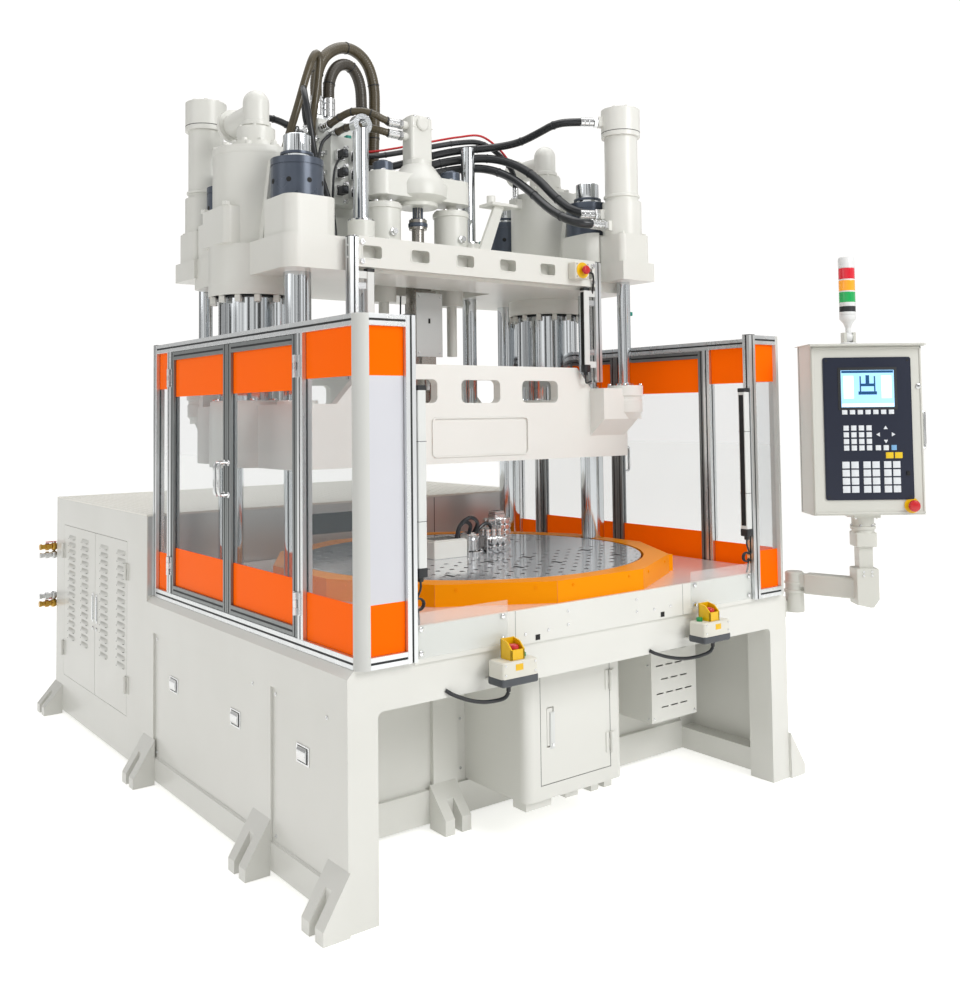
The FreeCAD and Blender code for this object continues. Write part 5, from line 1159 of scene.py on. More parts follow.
def welled_box(half_x, half_y, tall, corner, well_y=0.0, reach=10.0):
    """A round-cornered box drawn upwards from nought, with a round well sunk into its top for a button's stem."""
    body, top = (outline(half_x - inset, half_y - inset, corner, 4) for inset in (0, 3))
    well = outline(9, 9, 8.9, 4) + [0, well_y]
    return stacked((top, body, body, top, well, well), (0, 3, tall - 4, tall, tall, tall - reach))


def build_hand_boxes():
    """Button boxes below the table's edge, their mushrooms and leads, and the beam's stop button."""
    x, y = HAND_X, HAND_FRONT + 40
    body = moved(welled_box(79, 42, BOX_TOP - BOX_LOW, 9, 2.0), x, HAND_FRONT + 38, BOX_LOW)
    base = block(x - 81, x + 81, HAND_FRONT - 6, HAND_FRONT + 82, BOX_LOW - 2, BOX_LOW + 27, 4, 8, 3)
    shelf = block(x - 60, x + 60, HAND_FRONT + 78, BASE_FRONT, BOX_LOW, BOX_LOW + 8, 1)
    # Yellow housing round the button: upright walls, low in front and sloping up to the rear.
    wall = np.array([(y - 30, BOX_TOP), (y - 30, BOX_TOP + 36), (y - 6, BOX_TOP + 60), (y + 30, BOX_TOP + 68),
                     (y + 30, BOX_TOP)])
    cheeks = [stacked([wall] * 2, (x1, x0), (2, 0, 1)) for x0, x1 in ((x - 30, x - 24.5), (x + 24.5, x + 30))]
    walls = [block(x - 30, x + 30, y - 30, y - 25, BOX_TOP, BOX_TOP + 36, 1),
             block(x - 30, x + 30, y + 25, y + 30, BOX_TOP, BOX_TOP + 68, 1)]
    marks = block(x - 12, x + 22, HAND_FRONT - 4.8, HAND_FRONT - 3.2, 762, 784, 0.4, 3, 3)
    screws = screw_rows(4, 2.5, FRONT, [x - 66, x + 66], [HAND_FRONT - 4], [752, 784])
    gland = lathe([(11, 0), (11, 12), (8, 14), (8, 26), (6, 30)], 14, x + 20, y, BOX_LOW - 2, DOWN)
    side_light = lathe([(12, 0), (13, 4), (13, 12), (9, 16)], 20, x - 50, y + 8, BOX_TOP)
    stop_box = welled_box(45, 40, 50, 6)
    stop_box = (stop_box[0][:, [0, 2, 1]] * [1, -1, 1] + [535, 745, 2330], stop_box[1])
    parts = [(join(pair(body), stop_box), "cream_plastic"), (pair(base), "grey_plastic"),
             (pair(shelf), "machine_enamel"), (pair(*cheeks, *walls, marks), "signal_yellow"),
             (pair(screws), "bright_plating"), (pair(gland), "satin_black"),
             (pair(side_light), "signal_green")]
    piece("hand_boxes", parts, replaces=("button_boxes",))
    for side, name in ((-1, "left_palm"), (1, "right_palm")):
        head = lathe([(7, 4), (20, 8), (23, 14), (23, 20), (20, 27), (10, 30)], 30, side * x, y, HAND_TOP)
        stem = lathe([(7.9, BOX_TOP - 3), (7.9, HAND_TOP + 10)], 20, side * x, y, 0)
        piece(f"{name}_mushroom", [(head, "signal_red"), (stem, "satin_black")],
              name, (f"{name}_button",))
    cables = [bent([(-540, y, 680), (-552, y + 6, 662), (-582, y + 20, 654), (-630, y + 30, 656),
                    (-680, y + 44, 668),
                    (-730, y + 66, 690), (-752, BASE_FRONT, 706)], 7),
              bent([(540, y, 680), (520, y + 4, 662), (470, y + 18, 650), (400, y + 28, 650),
                    (330, y + 44, 662),
                    (270, y + 62, 682), (251, BASE_FRONT, 694)], 7)]
    piece("hand_box_leads", [(join(*cables), "satin_black")])
    stop_y = 745.0
    ring = lathe([(34, 0), (38, 1), (38, 3), (30, 4.5)], 32, 535, stop_y - 50, 2330, FRONT)
    corners = screw_rows(4, 2.5, FRONT, [500, 570], [stop_y - 50], [2300, 2360])
    box_gland = lathe([(9, 0), (9, 12), (6, 14), (6, 24)], 14, 580, stop_y - 24, 2330, RIGHT)
    lead = bent([(604, stop_y - 24, 2330), (630, stop_y - 22, 2318), (642, stop_y - 10, 2270),
                 (652, stop_y + 10, 2230)], 5)
    piece("beam_stop_details", [(ring, "signal_yellow"), (corners, "bright_plating"),
                                (join(box_gland, lead), "satin_black")])
    head = facing(turned([(7.9, -22), (7.9, 12), (17, 14), (21, 18), (21, 26), (17, 31), (8, 33)], 28), FRONT)
    piece("beam_stop_mushroom", [(moved(head, 535, stop_y - 54, 2330), "signal_red")], "beam_stop",
          ("beam_stop_button",))


def build_curtains():
    """Light curtains: a white bar, the dark window on its inner side, black ends, plugs and leads."""
    window = block(CURTAIN_X - 18.4, CURTAIN_X - 17, 8, 32, 1150, 1722, 0.3)
    caps = [block(CURTAIN_X - 18.5, CURTAIN_X + 18.5, 0.5, 39.5, z0, z1, 2, 4, 2) for z0,
            z1 in ((1104, 1136), (1734, 1752))]
    caps.append(block(CURTAIN_X - 9, CURTAIN_X + 9, 10, 30, 1088, 1104, 2, 6, 3))
    upper = block(588.6, 590, 749, 771, 1880, 2236, 0.3)
    upper_caps = [block(588.5, 625.5, 743.5, 776.5, z0, z1, 2, 4, 2) for z0, z1 in ((1848, 1884), (2243, 2258))]
    upper_caps.append(block(598, 616, 752, 770, 1832, 1848, 2, 6, 3))
    turn = np.linspace(0, 3.2 * TAU, 40)
    coil = np.stack([CURTAIN_X + 6 + 24 * np.cos(turn), 20 + turn * 0.8, 1012 + 20 * np.sin(turn)], -1)
    leads = [bent([(CURTAIN_X, 20, 1090), (CURTAIN_X, 20, 1065), (CURTAIN_X + 14, 20, 1036)], 4),
             tube(coil, 3.4, 8),
             bent([(CURTAIN_X + 10, 22, 994), (CURTAIN_X + 6, 24, 965), (CURTAIN_X + 2, 28, 944)], 4),
             bent([(607, 760, 1834), (607, 762, 1812), (620, 770, 1796), (655, 772, 1806)], 4)]
    joints = [block(CURTAIN_X - 17.6, CURTAIN_X + 17.6, 1.4, 38.6, z, z + 2, 0.5) for z in (1290, 1560)]
    clips = [block(CURTAIN_X + 10, 884, 12, 28, z, z + 34, 2) for z in (1210, 1650)]
    clips += [block(620, 665, 752, 768, z, z + 30, 2) for z in (1930, 2170)]
    piece("curtain_details", [(pair(window, upper), "shadow_black"),
                              (pair(*caps, *upper_caps, *leads), "satin_black"),
                              (pair(*joints), "grey_plastic"),
                              (pair(*clips), "bright_plating")])


# ---- operator's panel -------------------------------------------------------------------
NECK, PANEL_YAW = (1280.0, -280.0), -37.4
PANEL_LOW, PANEL_HIGH, PANEL_HALF, PANEL_DEEP = 1196.0, 1937.0, 242.0, 95.0


def on_panel(solid):
    """Put a solid drawn round the neck, facing -Y, into the panel's own direction."""
    return moved(spun(solid, PANEL_YAW), *NECK)


def keys_at(width, height, xs, zs, face):
    """Round-cornered keys in columns and rows on the panel's face."""
    key = block(-width / 2, width / 2, -2.6, 0, -height / 2, height / 2, 0.9, 1.8, 2)
    return copies(key, grid_of(xs, [face], zs))


def build_panel():
    """The panel's foil, display and keys, then the box with its rim, hood, handle and stop button."""
    face = -PANEL_DEEP - 5
    left, right, low, high = -190.0, 191.0, 1262.0, 1878.0
    middle = (left + right) / 2
    bezel = block(left + 6, right - 6, face - 0.9, face, low + 6, high - 6, 0.3, 8, 4)
    screen_rim = block(middle - 128, middle + 128, face - 3.2, face - 0.5, 1650, 1834, 1.2, 6, 3)
    screen = block(middle - 115, middle + 115, face - 4.0, face - 2.8, 1662, 1822, 0.3)
    # A plain display: a title bar, two panes of white figures' room, and a drawing of blocks.
    show = [(block(middle + x0, middle + x1, face - 4.4, face - 3.9, z0, z1, 0.1), f"screen_{shade}")
            for x0, x1, z0, z1, shade in (
                (-112, 112, 1810, 1820, "dark"), (-104, -60, 1700, 1798, "white"),
                (60, 104, 1700, 1798, "white"),
                (-40, 40, 1716, 1730, "dark"), (-28, 28, 1752, 1764, "dark"), (-34, -28, 1730, 1796, "dark"),
                (28, 34, 1730, 1796, "dark"), (-8, 8, 1764, 1800, "dark"), (-112, 112, 1664, 1678, "white"))]
    soft = keys_at(23, 20, middle + np.linspace(-101, 101, 7), [1641], face)
    icons = copies(block(-7, 7, -0.6, 0, -4, 4, 0.2),
                   grid_of(middle + np.linspace(-112, 112, 8), [face], [1611]))
    number = keys_at(23, 22, middle + np.array([-97.0, -64, -31, 2]), [1572, 1543, 1514, 1486], face)
    edits = keys_at(23, 22, middle + np.array([40.0, 74]), [1486], face)
    blue = keys_at(23, 22, middle + np.array([108.0]), [1486], face)
    arrow = np.array([(0, 9), (-9, -6), (9, -6)], float)
    arrows = []
    for quarter, (dx, z) in enumerate(((74, 1572), (42, 1543), (74, 1514), (106, 1543))):
        turn = math.radians(90 * quarter)
        flat = arrow @ np.array([(math.cos(turn), math.sin(turn)), (-math.sin(turn), math.cos(turn))])
        arrows.append(stacked([flat + [middle + dx, z]] * 2, (face, face - 1.8), (0, 2, 1)))
    yellow = keys_at(33, 26, middle + np.array([88.0, 127.0]), [1453], face)
    hand = keys_at(32, 29, middle + np.array([-102.0, -63, -11, 28, 78, 117]), [1413, 1378, 1343, 1308], face)
    slots = [block(middle + dx - 5, middle + dx + 5, face - 0.8, face, 1288, 1432, 0.2, 4, 3)
             for dx in (-164, 166)]
    slots.append(block(middle + 158, middle + 174, face - 5, face - 0.6, 1366, 1384, 1.5, 3, 2))
    dome = [screw_rows(5, 2.5, FRONT, [left + 14, right - 14], [face], [low + 14, high - 14])]
    parts = [(bezel, "panel_foil"), (screen_rim, "satin_black"), (screen, "screen_glass"), *show,
             (join(soft, number, edits, hand, *arrows), "key_white"), (yellow, "key_yellow"),
             (blue, "key_blue"),
             (icons, "grey_plastic"), (join(*slots), "shadow_black"), (join(*dome), "satin_black")]
    piece("panel_face", [(on_panel(solid), name) for solid, name in parts], "panel_head")
    # Box details: front rim, hood, door seam, and a bowed handle on its right.
    half, deep = PANEL_HALF, PANEL_DEEP
    rim = [block(-half + 2, half - 2, -deep - 4, -deep, z, z + 8, 1.5)
           for z in (PANEL_LOW + 6, PANEL_HIGH - 22)]
    rim += [block(x, x + 8, -deep - 4, -deep, PANEL_LOW + 6, PANEL_HIGH - 14, 1.5)
            for x in (-half + 4, half - 12)]
    hood = np.array([(-deep - 34, PANEL_HIGH - 4), (-deep, PANEL_HIGH + 0.5), (deep + 4, PANEL_HIGH + 0.5),
                     (deep + 4, PANEL_HIGH - 2.5),
                     (-deep, PANEL_HIGH - 2.5), (-deep - 34, PANEL_HIGH - 8)])
    shade = stacked([hood[::-1]] * 2, (-half - 8, half + 8), (2, 0, 1))
    seam = block(-half - 0.6, half + 0.6, deep - 30, deep - 27.5, PANEL_LOW + 4, PANEL_HIGH - 4, 0.2)
    bow = bent([(half, -20, 1480), (half + 26, -20, 1480), (half + 34, -20, 1490), (half + 34, -20, 1560),
                (half + 34, -20, 1630), (half + 26, -20, 1640), (half, -20, 1640)], 7)
    pads = copies(facing(turned([(12, 0), (12, 3), (8, 5)], 18), RIGHT), grid_of([half], [-20], [1480, 1640]))
    lock = lathe([(11, 0), (11, 4), (7, 5)], 20, half - 20, -deep - 0.5, 1750, FRONT)
    neck_ring = lathe([(48.4, 0), (54, 3), (54, 14), (48.4, 18)], 40, 0, 0, 1126)
    neck_bolts = ring_of(screw_head(6, 6), 51, 6, 0, 0, 1144)
    plate_bolts = screw_rows(6, 5, DOWN, [-48, 48], [-48, 48], [1180])
    stop_ring = lathe([(26, 0), (33, 1), (33, 4), (25, 5.4)], 36, half - 62, -deep, PANEL_LOW + 40, FRONT)
    vents = copies(block(half - 1, half + 1.0, -50, 50, 0, 5, 0.4),
                   grid_of([0], [20], np.arange(1800, 1880, 14.0)))
    parts = [(join(*rim, shade, neck_ring), "pendant_enamel"), (seam, "shadow_black"),
             (join(bow, pads, lock), "bright_plating"),
             (join(neck_bolts, plate_bolts), "bright_plating"), (stop_ring, "signal_yellow"),
             (vents, "shadow_black")]
    piece("panel_box_details", [(on_panel(solid), name) for solid, name in parts], "panel_head")
    head = facing(turned([(7.9, -22), (7.9, 12), (20, 15), (25, 19), (25, 26), (21, 32), (10, 35)], 30), FRONT)
    piece("panel_stop_mushroom", [(on_panel(moved(head, half - 62, -deep - 6, PANEL_LOW + 40)), "signal_red")],
          "panel_stop", ("pendant_stop_button",))


def build_arm():
    """Plate, rings, sleeve, elbow and clamp of the arm that carries the panel."""
    x, y = 1205.0, 30.0
    bolts = [screw_rows(9, 8, RIGHT, [1149], [56, 104], [732, 788])]
    plate = block(1149 - 12, 1149 - 0.2, 34, 126, 714, 806, 2, 6, 3)
    ring = lathe([(42.4, 0), (47, 2), (47, 14), (42.4, 17)], 40, x, y, 820)
    piece("arm_post_details", [(join(plate, ring), "pendant_enamel"), (join(*bolts), "bright_plating")])
    top = [lathe([(42.3, 0), (42.3, 4), (36, 10), (12, 12)], 40, x, y, 906),
           lathe([(43, 0), (46, 2), (46, 10), (43, 12)], 40, x, y, 860)]
    # A cast elbow with a cut corner, the arm's sleeve, and a square clamp below the panel.
    edge = np.array([(-49, 12), (6, 0), (24, 0), (49, 34), (49, 164), (45, 168), (-45, 168), (-49, 164)], float)
    elbow = stacked([edge * [wide, 1] for wide in (0.94, 1, 1, 0.94)], (46, 43, -43, -46), (0, 2, 1))
    elbow = moved(on_panel(elbow), z=792)
    reach = math.hypot(NECK[0] - x, NECK[1] - y)
    sleeve = spun(block(56, reach - 20, -35, 35, 822, 912, 5, 8, 3),
                  math.degrees(math.atan2(NECK[1] - y, NECK[0] - x)))
    clamp = on_panel(block(-46, 46, -46, 46, 1052, 1116, 4, 7, 3))
    screws = on_panel(join(screw_rows(5, 4, FRONT, [-18, 18], [-46], [930, 946]),
                           screw_rows(5, 4, RIGHT, [49], [-18, 18], [926, 942]),
                           screw_rows(5, 4, RIGHT, [46], [-18, 18], [1070, 1098])))
    piece("arm_details", [(join(*top, elbow, moved(sleeve, x, y), clamp), "pendant_enamel"),
                          (screws, "bright_plating")],
          "panel_arm")


def build_lamp():
    """Stacked signal lamp: white cap, red, yellow and green ribbed lenses, dark and white bands, knuckle and foot."""
    x, z = -40.0, 1973.0
    def lens(low, tall):
        """A lens with six ribs round it."""
        count = 6
        level = np.linspace(0, tall, count * 2 + 1)
        radius = 34.4 + 0.6 * (np.arange(count * 2 + 1) % 2)
        return turned(np.stack([radius, low + level], -1), 40)
    stack = [(turned([(33, 306), (35.2, 309), (35.2, 348), (31, 356), (12, 358.5)], 40), "white_plastic"),
             (lens(258, 48), "lens_red"), (turned([(34, 252), (34, 258)], 36), "white_plastic"),
             (lens(206, 46), "lens_yellow"), (turned([(34, 200), (34, 206)], 36), "white_plastic"),
             (lens(154, 46), "lens_green"),
             (turned([(34, 136), (35.2, 138), (35.2, 154)], 36), "white_plastic"),
             (turned([(34.6, 112), (34.6, 136)], 36), "satin_black"),
             (turned([(33, 98), (35.2, 100), (35.2, 112)], 36), "white_plastic")]
    foot = [turned([(11.2, 40), (20, 62), (34, 78), (35.2, 82), (35.2, 98)], 40),
            turned([(11.3, 16), (11.3, 64)], 24)]
    knuckle = facing(turned([(20.3, -13.4), (21, -12), (21, 12), (20.3, 13.4)], 30), RIGHT)
    parts = stack + [(join(*foot, knuckle), "white_plastic")]
    parts = [(on_panel(moved(solid, x, 0, z)), name) for solid, name in parts]
    piece("signal_lamp_stack", parts, "signal_lamp", ("tower_lamp",))
    base = moved(turned([(37, PANEL_HIGH), (37, PANEL_HIGH + 8), (30, PANEL_HIGH + 12)], 36), x)
    bolts = ring_of(screw_head(4, 3), 31, 3, x, 0, PANEL_HIGH + 8, 30)
    piece("signal_lamp_foot", [(on_panel(base), "white_plastic"), (on_panel(bolts), "bright_plating")],
          "panel_head")


# ---- cabinets ---------------------------------------------------------------------------
def louvre(width, height, reach):
    """A pressed louvre on a wall that looks along -X: half a lens shape, open downwards."""
    u = np.linspace(-1, 1, 9)[:, None]
    v = np.linspace(0, 1, 6)[None, :]
    lift = reach * np.sqrt(1 - u ** 4) * np.sin(v * math.pi / 2) ** 0.8 + 0.2
    across = np.broadcast_to(u * width / 2, lift.shape)
    up = height * (1 - v) * np.ones_like(u) - height / 2
    return net(np.stack([-lift, across, up], -1))


def build_louvres():
    """Rows of louvres on the cabinet's doors and far side, and the doors' pulls and locks."""
    wall = -BASE_HALF
    pitch = detail().louvre_pitch * 1000
    hood = louvre(118, 19, 10)
    underside = block(-9, -0.4, -54, 54, -10.2, -9.4, 0.2)
    places = {"front_louvre": (2235, 2500), "rear_louvre": (2825, 3060)}
    for name, columns in places.items():
        rows = grid_of([wall], columns, 450 + pitch * np.arange(15))
        piece(f"{name}_hoods", [(copies(hood, rows), "machine_enamel"),
                                (copies(underside, rows), "shadow_black")],
              name, sharp=50)
    rows = grid_of([wall], (2235, 2500, 2825, 3060), 450 + pitch * np.arange(15))
    piece("right_louvre_hoods", [(mirrored(copies(hood, rows)), "machine_enamel"),
                                 (mirrored(copies(underside, rows)), "shadow_black")],
          sharp=50)
    # Long pull handles and the locks of the two doors.
    for name, y in (("front_louvre", 2620), ("rear_louvre", 2680)):
        pull = [block(wall - 3, wall, y - 12, y + 12, 590, 740, 1.2, 6, 3),
                block(wall - 9, wall - 3, y - 6, y + 6, 602, 728, 2, 5, 3)]
        lock = lathe([(10, 0), (10, 3), (6, 5)], 20, wall, y, 560, LEFT)
        piece(f"{name}_pull", [(join(*pull, lock), "bright_plating")], name)


def build_tread_plate():
    """Chequered plate: rows of lozenges 25 by 8 mm, leaning left and right by turns."""
    pitch = detail().lozenge_pitch * 1000
    turn = np.arange(8) * TAU / 8
    flat = np.stack([12 * np.sign(np.cos(turn)) * np.abs(np.cos(turn)) ** 1.3, 4 * np.sin(turn)], -1)
    lozenge = stacked([flat, flat * 0.72], (0, 1.5))
    xs, ys = np.arange(-BASE_HALF + 22, BASE_HALF - 16, pitch), np.arange(BASE_REAR + 22, 3362 - 16, pitch)
    all_places = grid_of(xs, ys, [1202])
    parity = (np.round((all_places[:, 0] - xs[0]) / pitch) + np.round((all_places[:, 1] - ys[0]) / pitch)) % 2
    parts = [copies(spun(lozenge, 45 if side else -45), all_places[parity == side]) for side in (0, 1)]
    rim = [block(-BASE_HALF + 1, BASE_HALF - 1, y, y + 3, 1202, 1203.2, 0.3) for y in (BASE_REAR + 2, 3357)]
    piece("tread_lozenges", [(join(*parts), "tread_worn"), (join(*rim), "tread_metal")],
          sharp=20)


def build_cabinets():
    """Seams, screws and pulls of the lower cabinet, and the power cabinet's walls."""
    # Lower cabinet: door seam, screws on its flanges, feet, and the vented box's fixings.
    front = 200.0
    seams = [block(x - 0.7, x + 0.7, front - 0.6, front + 0.6, 208, 657, 0.2) for x in (-187, 187)]
    seams += [block(-187, 187, front - 0.6, front + 0.6, z - 0.7, z + 0.7, 0.2) for z in (210, 655)]
    screws = [screw_rows(6, 4, FRONT, [x], [596], [200, 400, 600]) for x in (-286, 286)]
    screws.append(screw_rows(5, 3, FRONT, [606, 869], [350], [285, 740]))
    screws.append(screw_rows(5, 3, LEFT, [590], [370, 560], [285, 520, 740]))
    feet = [lathe([(20, 0), (20, 8), (9, 10), (9, 22)], 20, x, y, 155, DOWN) for x in (-40, 120, 200)
            for y in (280, 520)]
    hook = block(-30, 40, 236, 300, 118, 152, 4)
    piece("lower_cabinet_details", [(join(*seams), "grey_plastic"), (join(*screws, *feet), "bright_plating"),
                                    (hook, "machine_enamel")])
    rim = block(-139, -112, front - 1.0, front + 1.6, 342, 484, 1.0, 4, 3)
    pull = block(-136, -115, front - 3.0, front - 0.8, 346, 480, 1.4, 4, 3)
    lock = lathe([(6, 0), (6, 2.5)], 18, -125, front - 3.0, 358, FRONT)
    piece("cabinet_door_pull", [(rim, "inner_enamel"), (pull, "curtain_white"), (lock, "bright_plating")],
          "cabinet_door")
    # Power cabinet: stainless splash wall inside the guard, water and oil fittings at the rear left.
    wall = block(-BASE_HALF + 4, BASE_HALF - 4, BASE_REAR - 1.5, BASE_REAR, 830, 1192, 0.4)
    pocket = block(-418, 58, BASE_REAR - 2.4, BASE_REAR - 1.2, 1042, 1148, 0.3)
    strips = [block(x - 2, x + 2, BASE_REAR - 2.2, BASE_REAR - 1.4, 832, 1190, 0.2) for x in (-700, 480)]
    piece("splash_wall", [(wall, "sheet_steel"), (pocket, "shadow_black"), (join(*strips), "slot_rubber")])
    lid = [block(-BASE_HALF + 60, BASE_HALF - 60, 3362, 3363.5, z0, z1, 0.5) for z0,
           z1 in ((160, 600), (640, 1130))]
    lid_screws = screw_rows(6, 4, REAR, [-1050, -350, 350, 1050], [3363.5], [185, 575, 665, 1105])
    side_screws = screw_rows(6, 4, RIGHT, [BASE_HALF], [1960, 2660, 3290], [240, 640, 1050])
    piece("power_cabinet_details", [(join(*lid), "machine_enamel"),
                                    (join(lid_screws, side_screws), "bright_plating")])
    build_water_inlets()


def build_water_inlets():
    """Water and oil inlets on the rear wall at its left edge: ball valves that turn out past the edge."""
    brass, steel, red = [], [], []
    wall = 3362.0
    for z, metal in ((592, brass), (636, steel), (868, steel), (916, brass)):
        metal.append(lathe([(26, 0), (26, 8), (15, 10), (15, 30)], 6, -1096, wall, z, REAR))
        metal.append(lathe([(19, -19), (21, -17), (21, 17), (19, 19)], 20, -1096, wall + 40, z))
        valve = turned([(16, 0), (16, 16), (22, 20), (25, 30), (22, 42), (16, 46), (16, 58), (21, 60), (21, 78),
                        (14, 80),
                        (14, 96), (17, 98), (17, 110)], 8)
        metal.append(moved(facing(valve, LEFT), -1112, wall + 40, z))
    for z in (592, 916):
        red.append(block(-1190, -1130, wall + 34, wall + 46, z + 24, z + 30, 2))
        steel.append(lathe([(7, 0), (7, 28)], 12, -1146, wall + 40, z))
    piece("water_inlets", [(join(*brass), "yellow_brass"), (join(*steel), "bright_plating"),
                           (join(*red), "signal_red")])


# ---- stage ------------------------------------------------------------------------------
def area_light(name, energy, size, place, target):
    """A soft rectangular lamp at a place, looking at a target."""
    lamp = bpy.data.lights.new(name, "AREA")
    lamp.energy = energy
    lamp.shape = "RECTANGLE"
    lamp.size, lamp.size_y = size
    obj = bpy.data.objects.new(name, lamp)
    bpy.context.scene.collection.objects.link(obj)
    obj.location = place
    obj.rotation_euler = (Vector(target) - Vector(place)).to_track_quat("-Z", "Y").to_euler()


def build_stage():
    """A pale floor, soft light from a bright room, and the camera."""
    floor = bpy.data.meshes.new("floor")
    reach = 40
    floor.from_pydata([(-reach, -reach, 0), (reach, -reach, 0), (reach, reach, 0), (-reach, reach, 0)], [],
                      [(0, 1, 2, 3)])
    floor.materials.append(FINISHES["floor_paint"])
    plane = bpy.data.objects.new("floor", floor)
    bpy.context.scene.collection.objects.link(plane)
    # The floor glows to the eye and in mirrors, but hardly lights the machine from below.
    tree = FINISHES["floor_paint"].node_tree
    paint_node = next(node for node in tree.nodes if node.type == "BSDF_PRINCIPLED")
    seen_glow, cast_glow = 0.62, 0.18
    glow = add(tree, "ShaderNodeMapRange", {"Value": (add(tree, "ShaderNodeLightPath"), "Is Diffuse Ray"),
                                            "To Min": seen_glow, "To Max": cast_glow})
    tree.links.new(glow.outputs["Result"], paint_node.inputs["Emission Strength"])
    world = bpy.data.worlds.new("studio")
    bpy.context.scene.world = world
    world.use_nodes = True
    tree = world.node_tree
    seen = add(tree, "ShaderNodeLightPath")
    room_light, backdrop = 0.52, 1.06
    lit = add(tree, "ShaderNodeMapRange",
              {"Value": (seen, "Is Camera Ray"), "To Min": room_light, "To Max": backdrop})
    # Bright metal mirrors the room's tall windows and the dark walls between them.
    way = add(tree, "ShaderNodeTexCoord")
    upright = add(tree, "ShaderNodeMapping", {"Vector": (way, "Generated"), "Scale": (2.6, 2.6, 0.2)})
    windows = add(tree, "ShaderNodeTexNoise", {"Vector": (upright, "Vector"), "Scale": 1.7, "Detail": 1.0})
    mirrored_room = add(tree, "ShaderNodeMapRange",
                        {"Value": (windows, "Fac"), "From Min": 0.40, "From Max": 0.60,
                         "To Min": 0.08, "To Max": 1.15})
    strength = add(tree, "ShaderNodeMix", {"Factor": (seen, "Is Glossy Ray"), "A": (lit, "Result"),
                                           "B": (mirrored_room, "Result")})
    tree.links.new(strength.outputs["Result"], tree.nodes["Background"].inputs["Strength"])
    tree.nodes["Background"].inputs["Color"].default_value = (1.0, 0.992, 0.978, 1)     # a slightly warm white
    bpy.context.scene.view_settings.view_transform = "Standard"
    area_light("key", 250, (3.5, 3.5), (1.2, -7.0, 5.2), (0, -0.6, 1.3))
    area_light("fill", 34, (3.5, 3.0), (-7.0, 0.6, 4.2), (-0.8, 0.2, 1.0))
    area_light("top", 130, (5.0, 5.0), (0, 0, 7.5), (0, 0, 1))
    build_camera()


def build_camera():
    """The camera stands left of the machine's front at eye height and looks slightly upwards."""
    yaw, pitch, roll = math.radians(37.40), math.radians(2.768), math.radians(-0.671)
    ahead = Vector((math.sin(yaw) * math.cos(pitch), math.cos(yaw) * math.cos(pitch), math.sin(pitch)))
    right = Vector((math.cos(yaw), -math.sin(yaw), 0))
    up = right.cross(ahead)
    turned_right = right * math.cos(roll) + up * math.sin(roll)
    turned_up = up * math.cos(roll) - right * math.sin(roll)
    eye = bpy.data.cameras.new("camera")
    eye.lens = 37.74
    eye.sensor_width = 36.0
    eye.sensor_fit = "AUTO"
    eye.shift_x, eye.shift_y = -0.0034, -0.131
    obj = bpy.data.objects.new("camera", eye)
    bpy.context.scene.collection.objects.link(obj)
    basis = Matrix((turned_right, turned_up, -ahead)).transposed().to_4x4()
    basis.translation = Vector((-2.8245, -2.9127, 1.6505)) + Vector(FRONT_POINT) / 1000
    obj.matrix_world = basis
    bpy.context.scene.camera = obj


# ---- add-on -----------------------------------------------------------------------------
class Builder:
    """Runs its steps, one after another."""

    def execute(self, context):
        for step in self.steps:
            step()
        return {"FINISHED"}


class BuildFinishes(Builder, bpy.types.Operator):
    """Make every finish and give the CAD pieces theirs"""
    bl_idname = "moulding.finishes"
    bl_label = "Finishes"
    steps = (finish_frame,)


class BuildStage(Builder, bpy.types.Operator):
    """Floor, lights and camera"""
    bl_idname = "moulding.stage"
    bl_label = "Stage"
    steps = (build_stage,)


class BuildHoses(Builder, bpy.types.Operator):
    """Hydraulic hoses with their wraps, fittings and ties"""
    bl_idname = "moulding.hoses"
    bl_label = "Hoses"
    steps = (build_hoses, build_loose_hoses)


class BuildGuard(Builder, bpy.types.Operator):
    """Slotted aluminium guard, its panes, and the four hinged doors"""
    bl_idname = "moulding.guard"
    bl_label = "Guard and doors"
    steps = (build_guard, build_fixed_panes)


class BuildBase(Builder, bpy.types.Operator):
    """Screws, grips and seams of the base, and the splash plate with its shields"""
    bl_idname = "moulding.base"
    bl_label = "Base"
    steps = (build_base_details, build_splash)


class BuildTable(Builder, bpy.types.Operator):
    """Turntable holes, water fittings and the ring round the disc"""
    bl_idname = "moulding.table"
    bl_label = "Turntable"
    steps = (build_turntable, build_skirt)


class BuildClamp(Builder, bpy.types.Operator):
    """Cylinders, nuts and platens of the clamp"""
    bl_idname = "moulding.clamp"
    bl_label = "Clamp"
    steps = (build_clamp_cylinders, build_quick_cylinders, build_tie_nuts, build_platens)


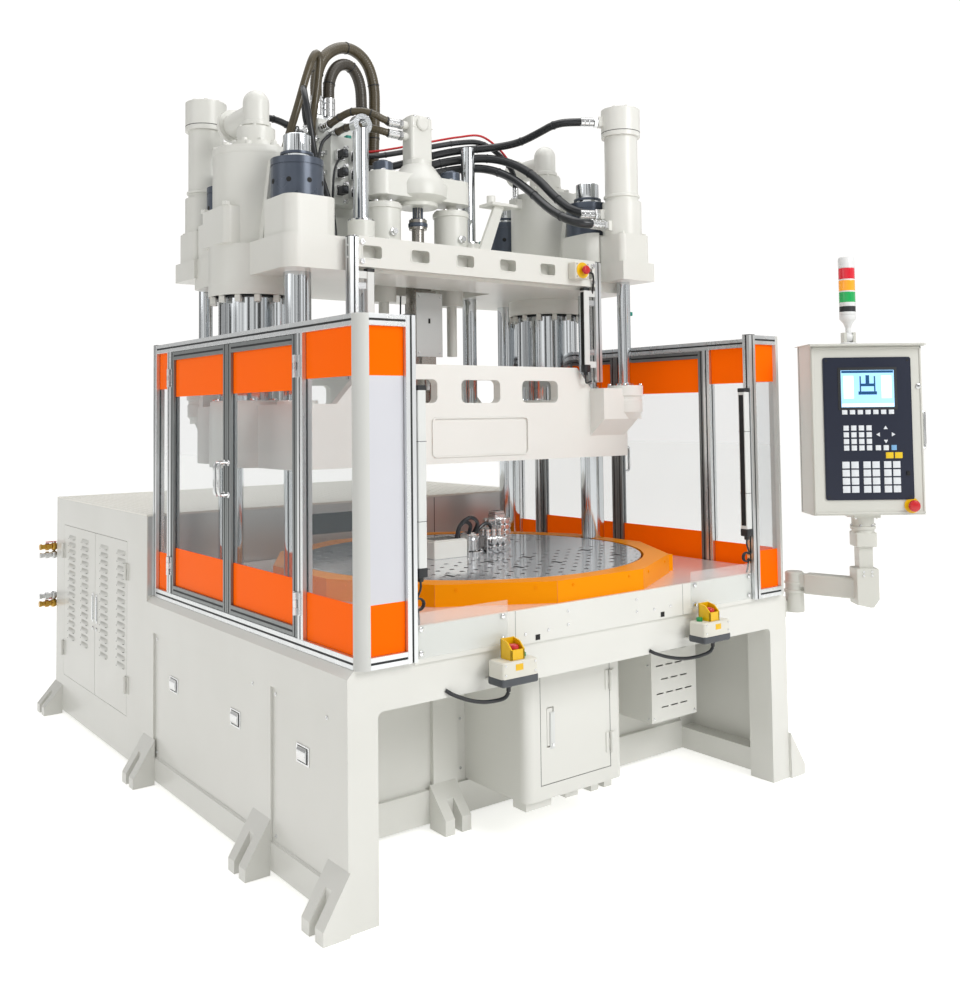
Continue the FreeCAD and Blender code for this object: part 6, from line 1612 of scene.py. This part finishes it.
class BuildInjection(Builder, bpy.types.Operator):
    """Injection unit, plasticising head and the valve stack"""
    bl_idname = "moulding.injection"
    bl_label = "Injection unit"
    steps = (build_injection, build_valves)


class BuildControls(Builder, bpy.types.Operator):
    """Hand boxes, stop buttons, light curtains, operator's panel, arm and signal lamp"""
    bl_idname = "moulding.controls"
    bl_label = "Controls"
    steps = (build_hand_boxes, build_curtains, build_panel, build_arm, build_lamp)


class BuildCabinets(Builder, bpy.types.Operator):
    """Louvres, tread plate, cabinet details and water inlets"""
    bl_idname = "moulding.cabinets"
    bl_label = "Cabinets"
    steps = (build_louvres, build_tread_plate, build_cabinets)


OPERATORS = (BuildFinishes, BuildStage, BuildHoses, BuildGuard, BuildBase, BuildTable, BuildClamp,
             BuildInjection,
             BuildControls, BuildCabinets)


class MouldingPanel(bpy.types.Panel):
    """Lists the settings and the builders in the sidebar"""
    bl_idname = "VIEW3D_PT_moulding"
    bl_label = "Moulding machine"
    bl_space_type = "VIEW_3D"
    bl_region_type = "UI"
    bl_category = "Moulding machine"

    def draw(self, context):
        for settings in (paint(), guard(), detail()):
            for name in settings.__annotations__:
                self.layout.prop(settings, name)
        for operator in OPERATORS:
            self.layout.operator(operator.bl_idname)


CLASSES = (PaintSettings, GuardSettings, DetailSettings, *OPERATORS, MouldingPanel)


def register():
    """Make the settings, operators and panel known."""
    for item in CLASSES:
        bpy.utils.register_class(item)
    bpy.types.Scene.moulding_paint = bpy.props.PointerProperty(type=PaintSettings)
    bpy.types.Scene.moulding_guard = bpy.props.PointerProperty(type=GuardSettings)
    bpy.types.Scene.moulding_detail = bpy.props.PointerProperty(type=DetailSettings)


def unregister():
    """Take them away again."""
    del bpy.types.Scene.moulding_detail
    del bpy.types.Scene.moulding_guard
    del bpy.types.Scene.moulding_paint
    for item in reversed(CLASSES):
        bpy.utils.unregister_class(item)


def main():
    """Build the whole scene in order."""
    register()
    for operator in OPERATORS:
        getattr(bpy.ops.moulding, operator.bl_idname.split(".")[1])()


if __name__ == "__main__":
    main()
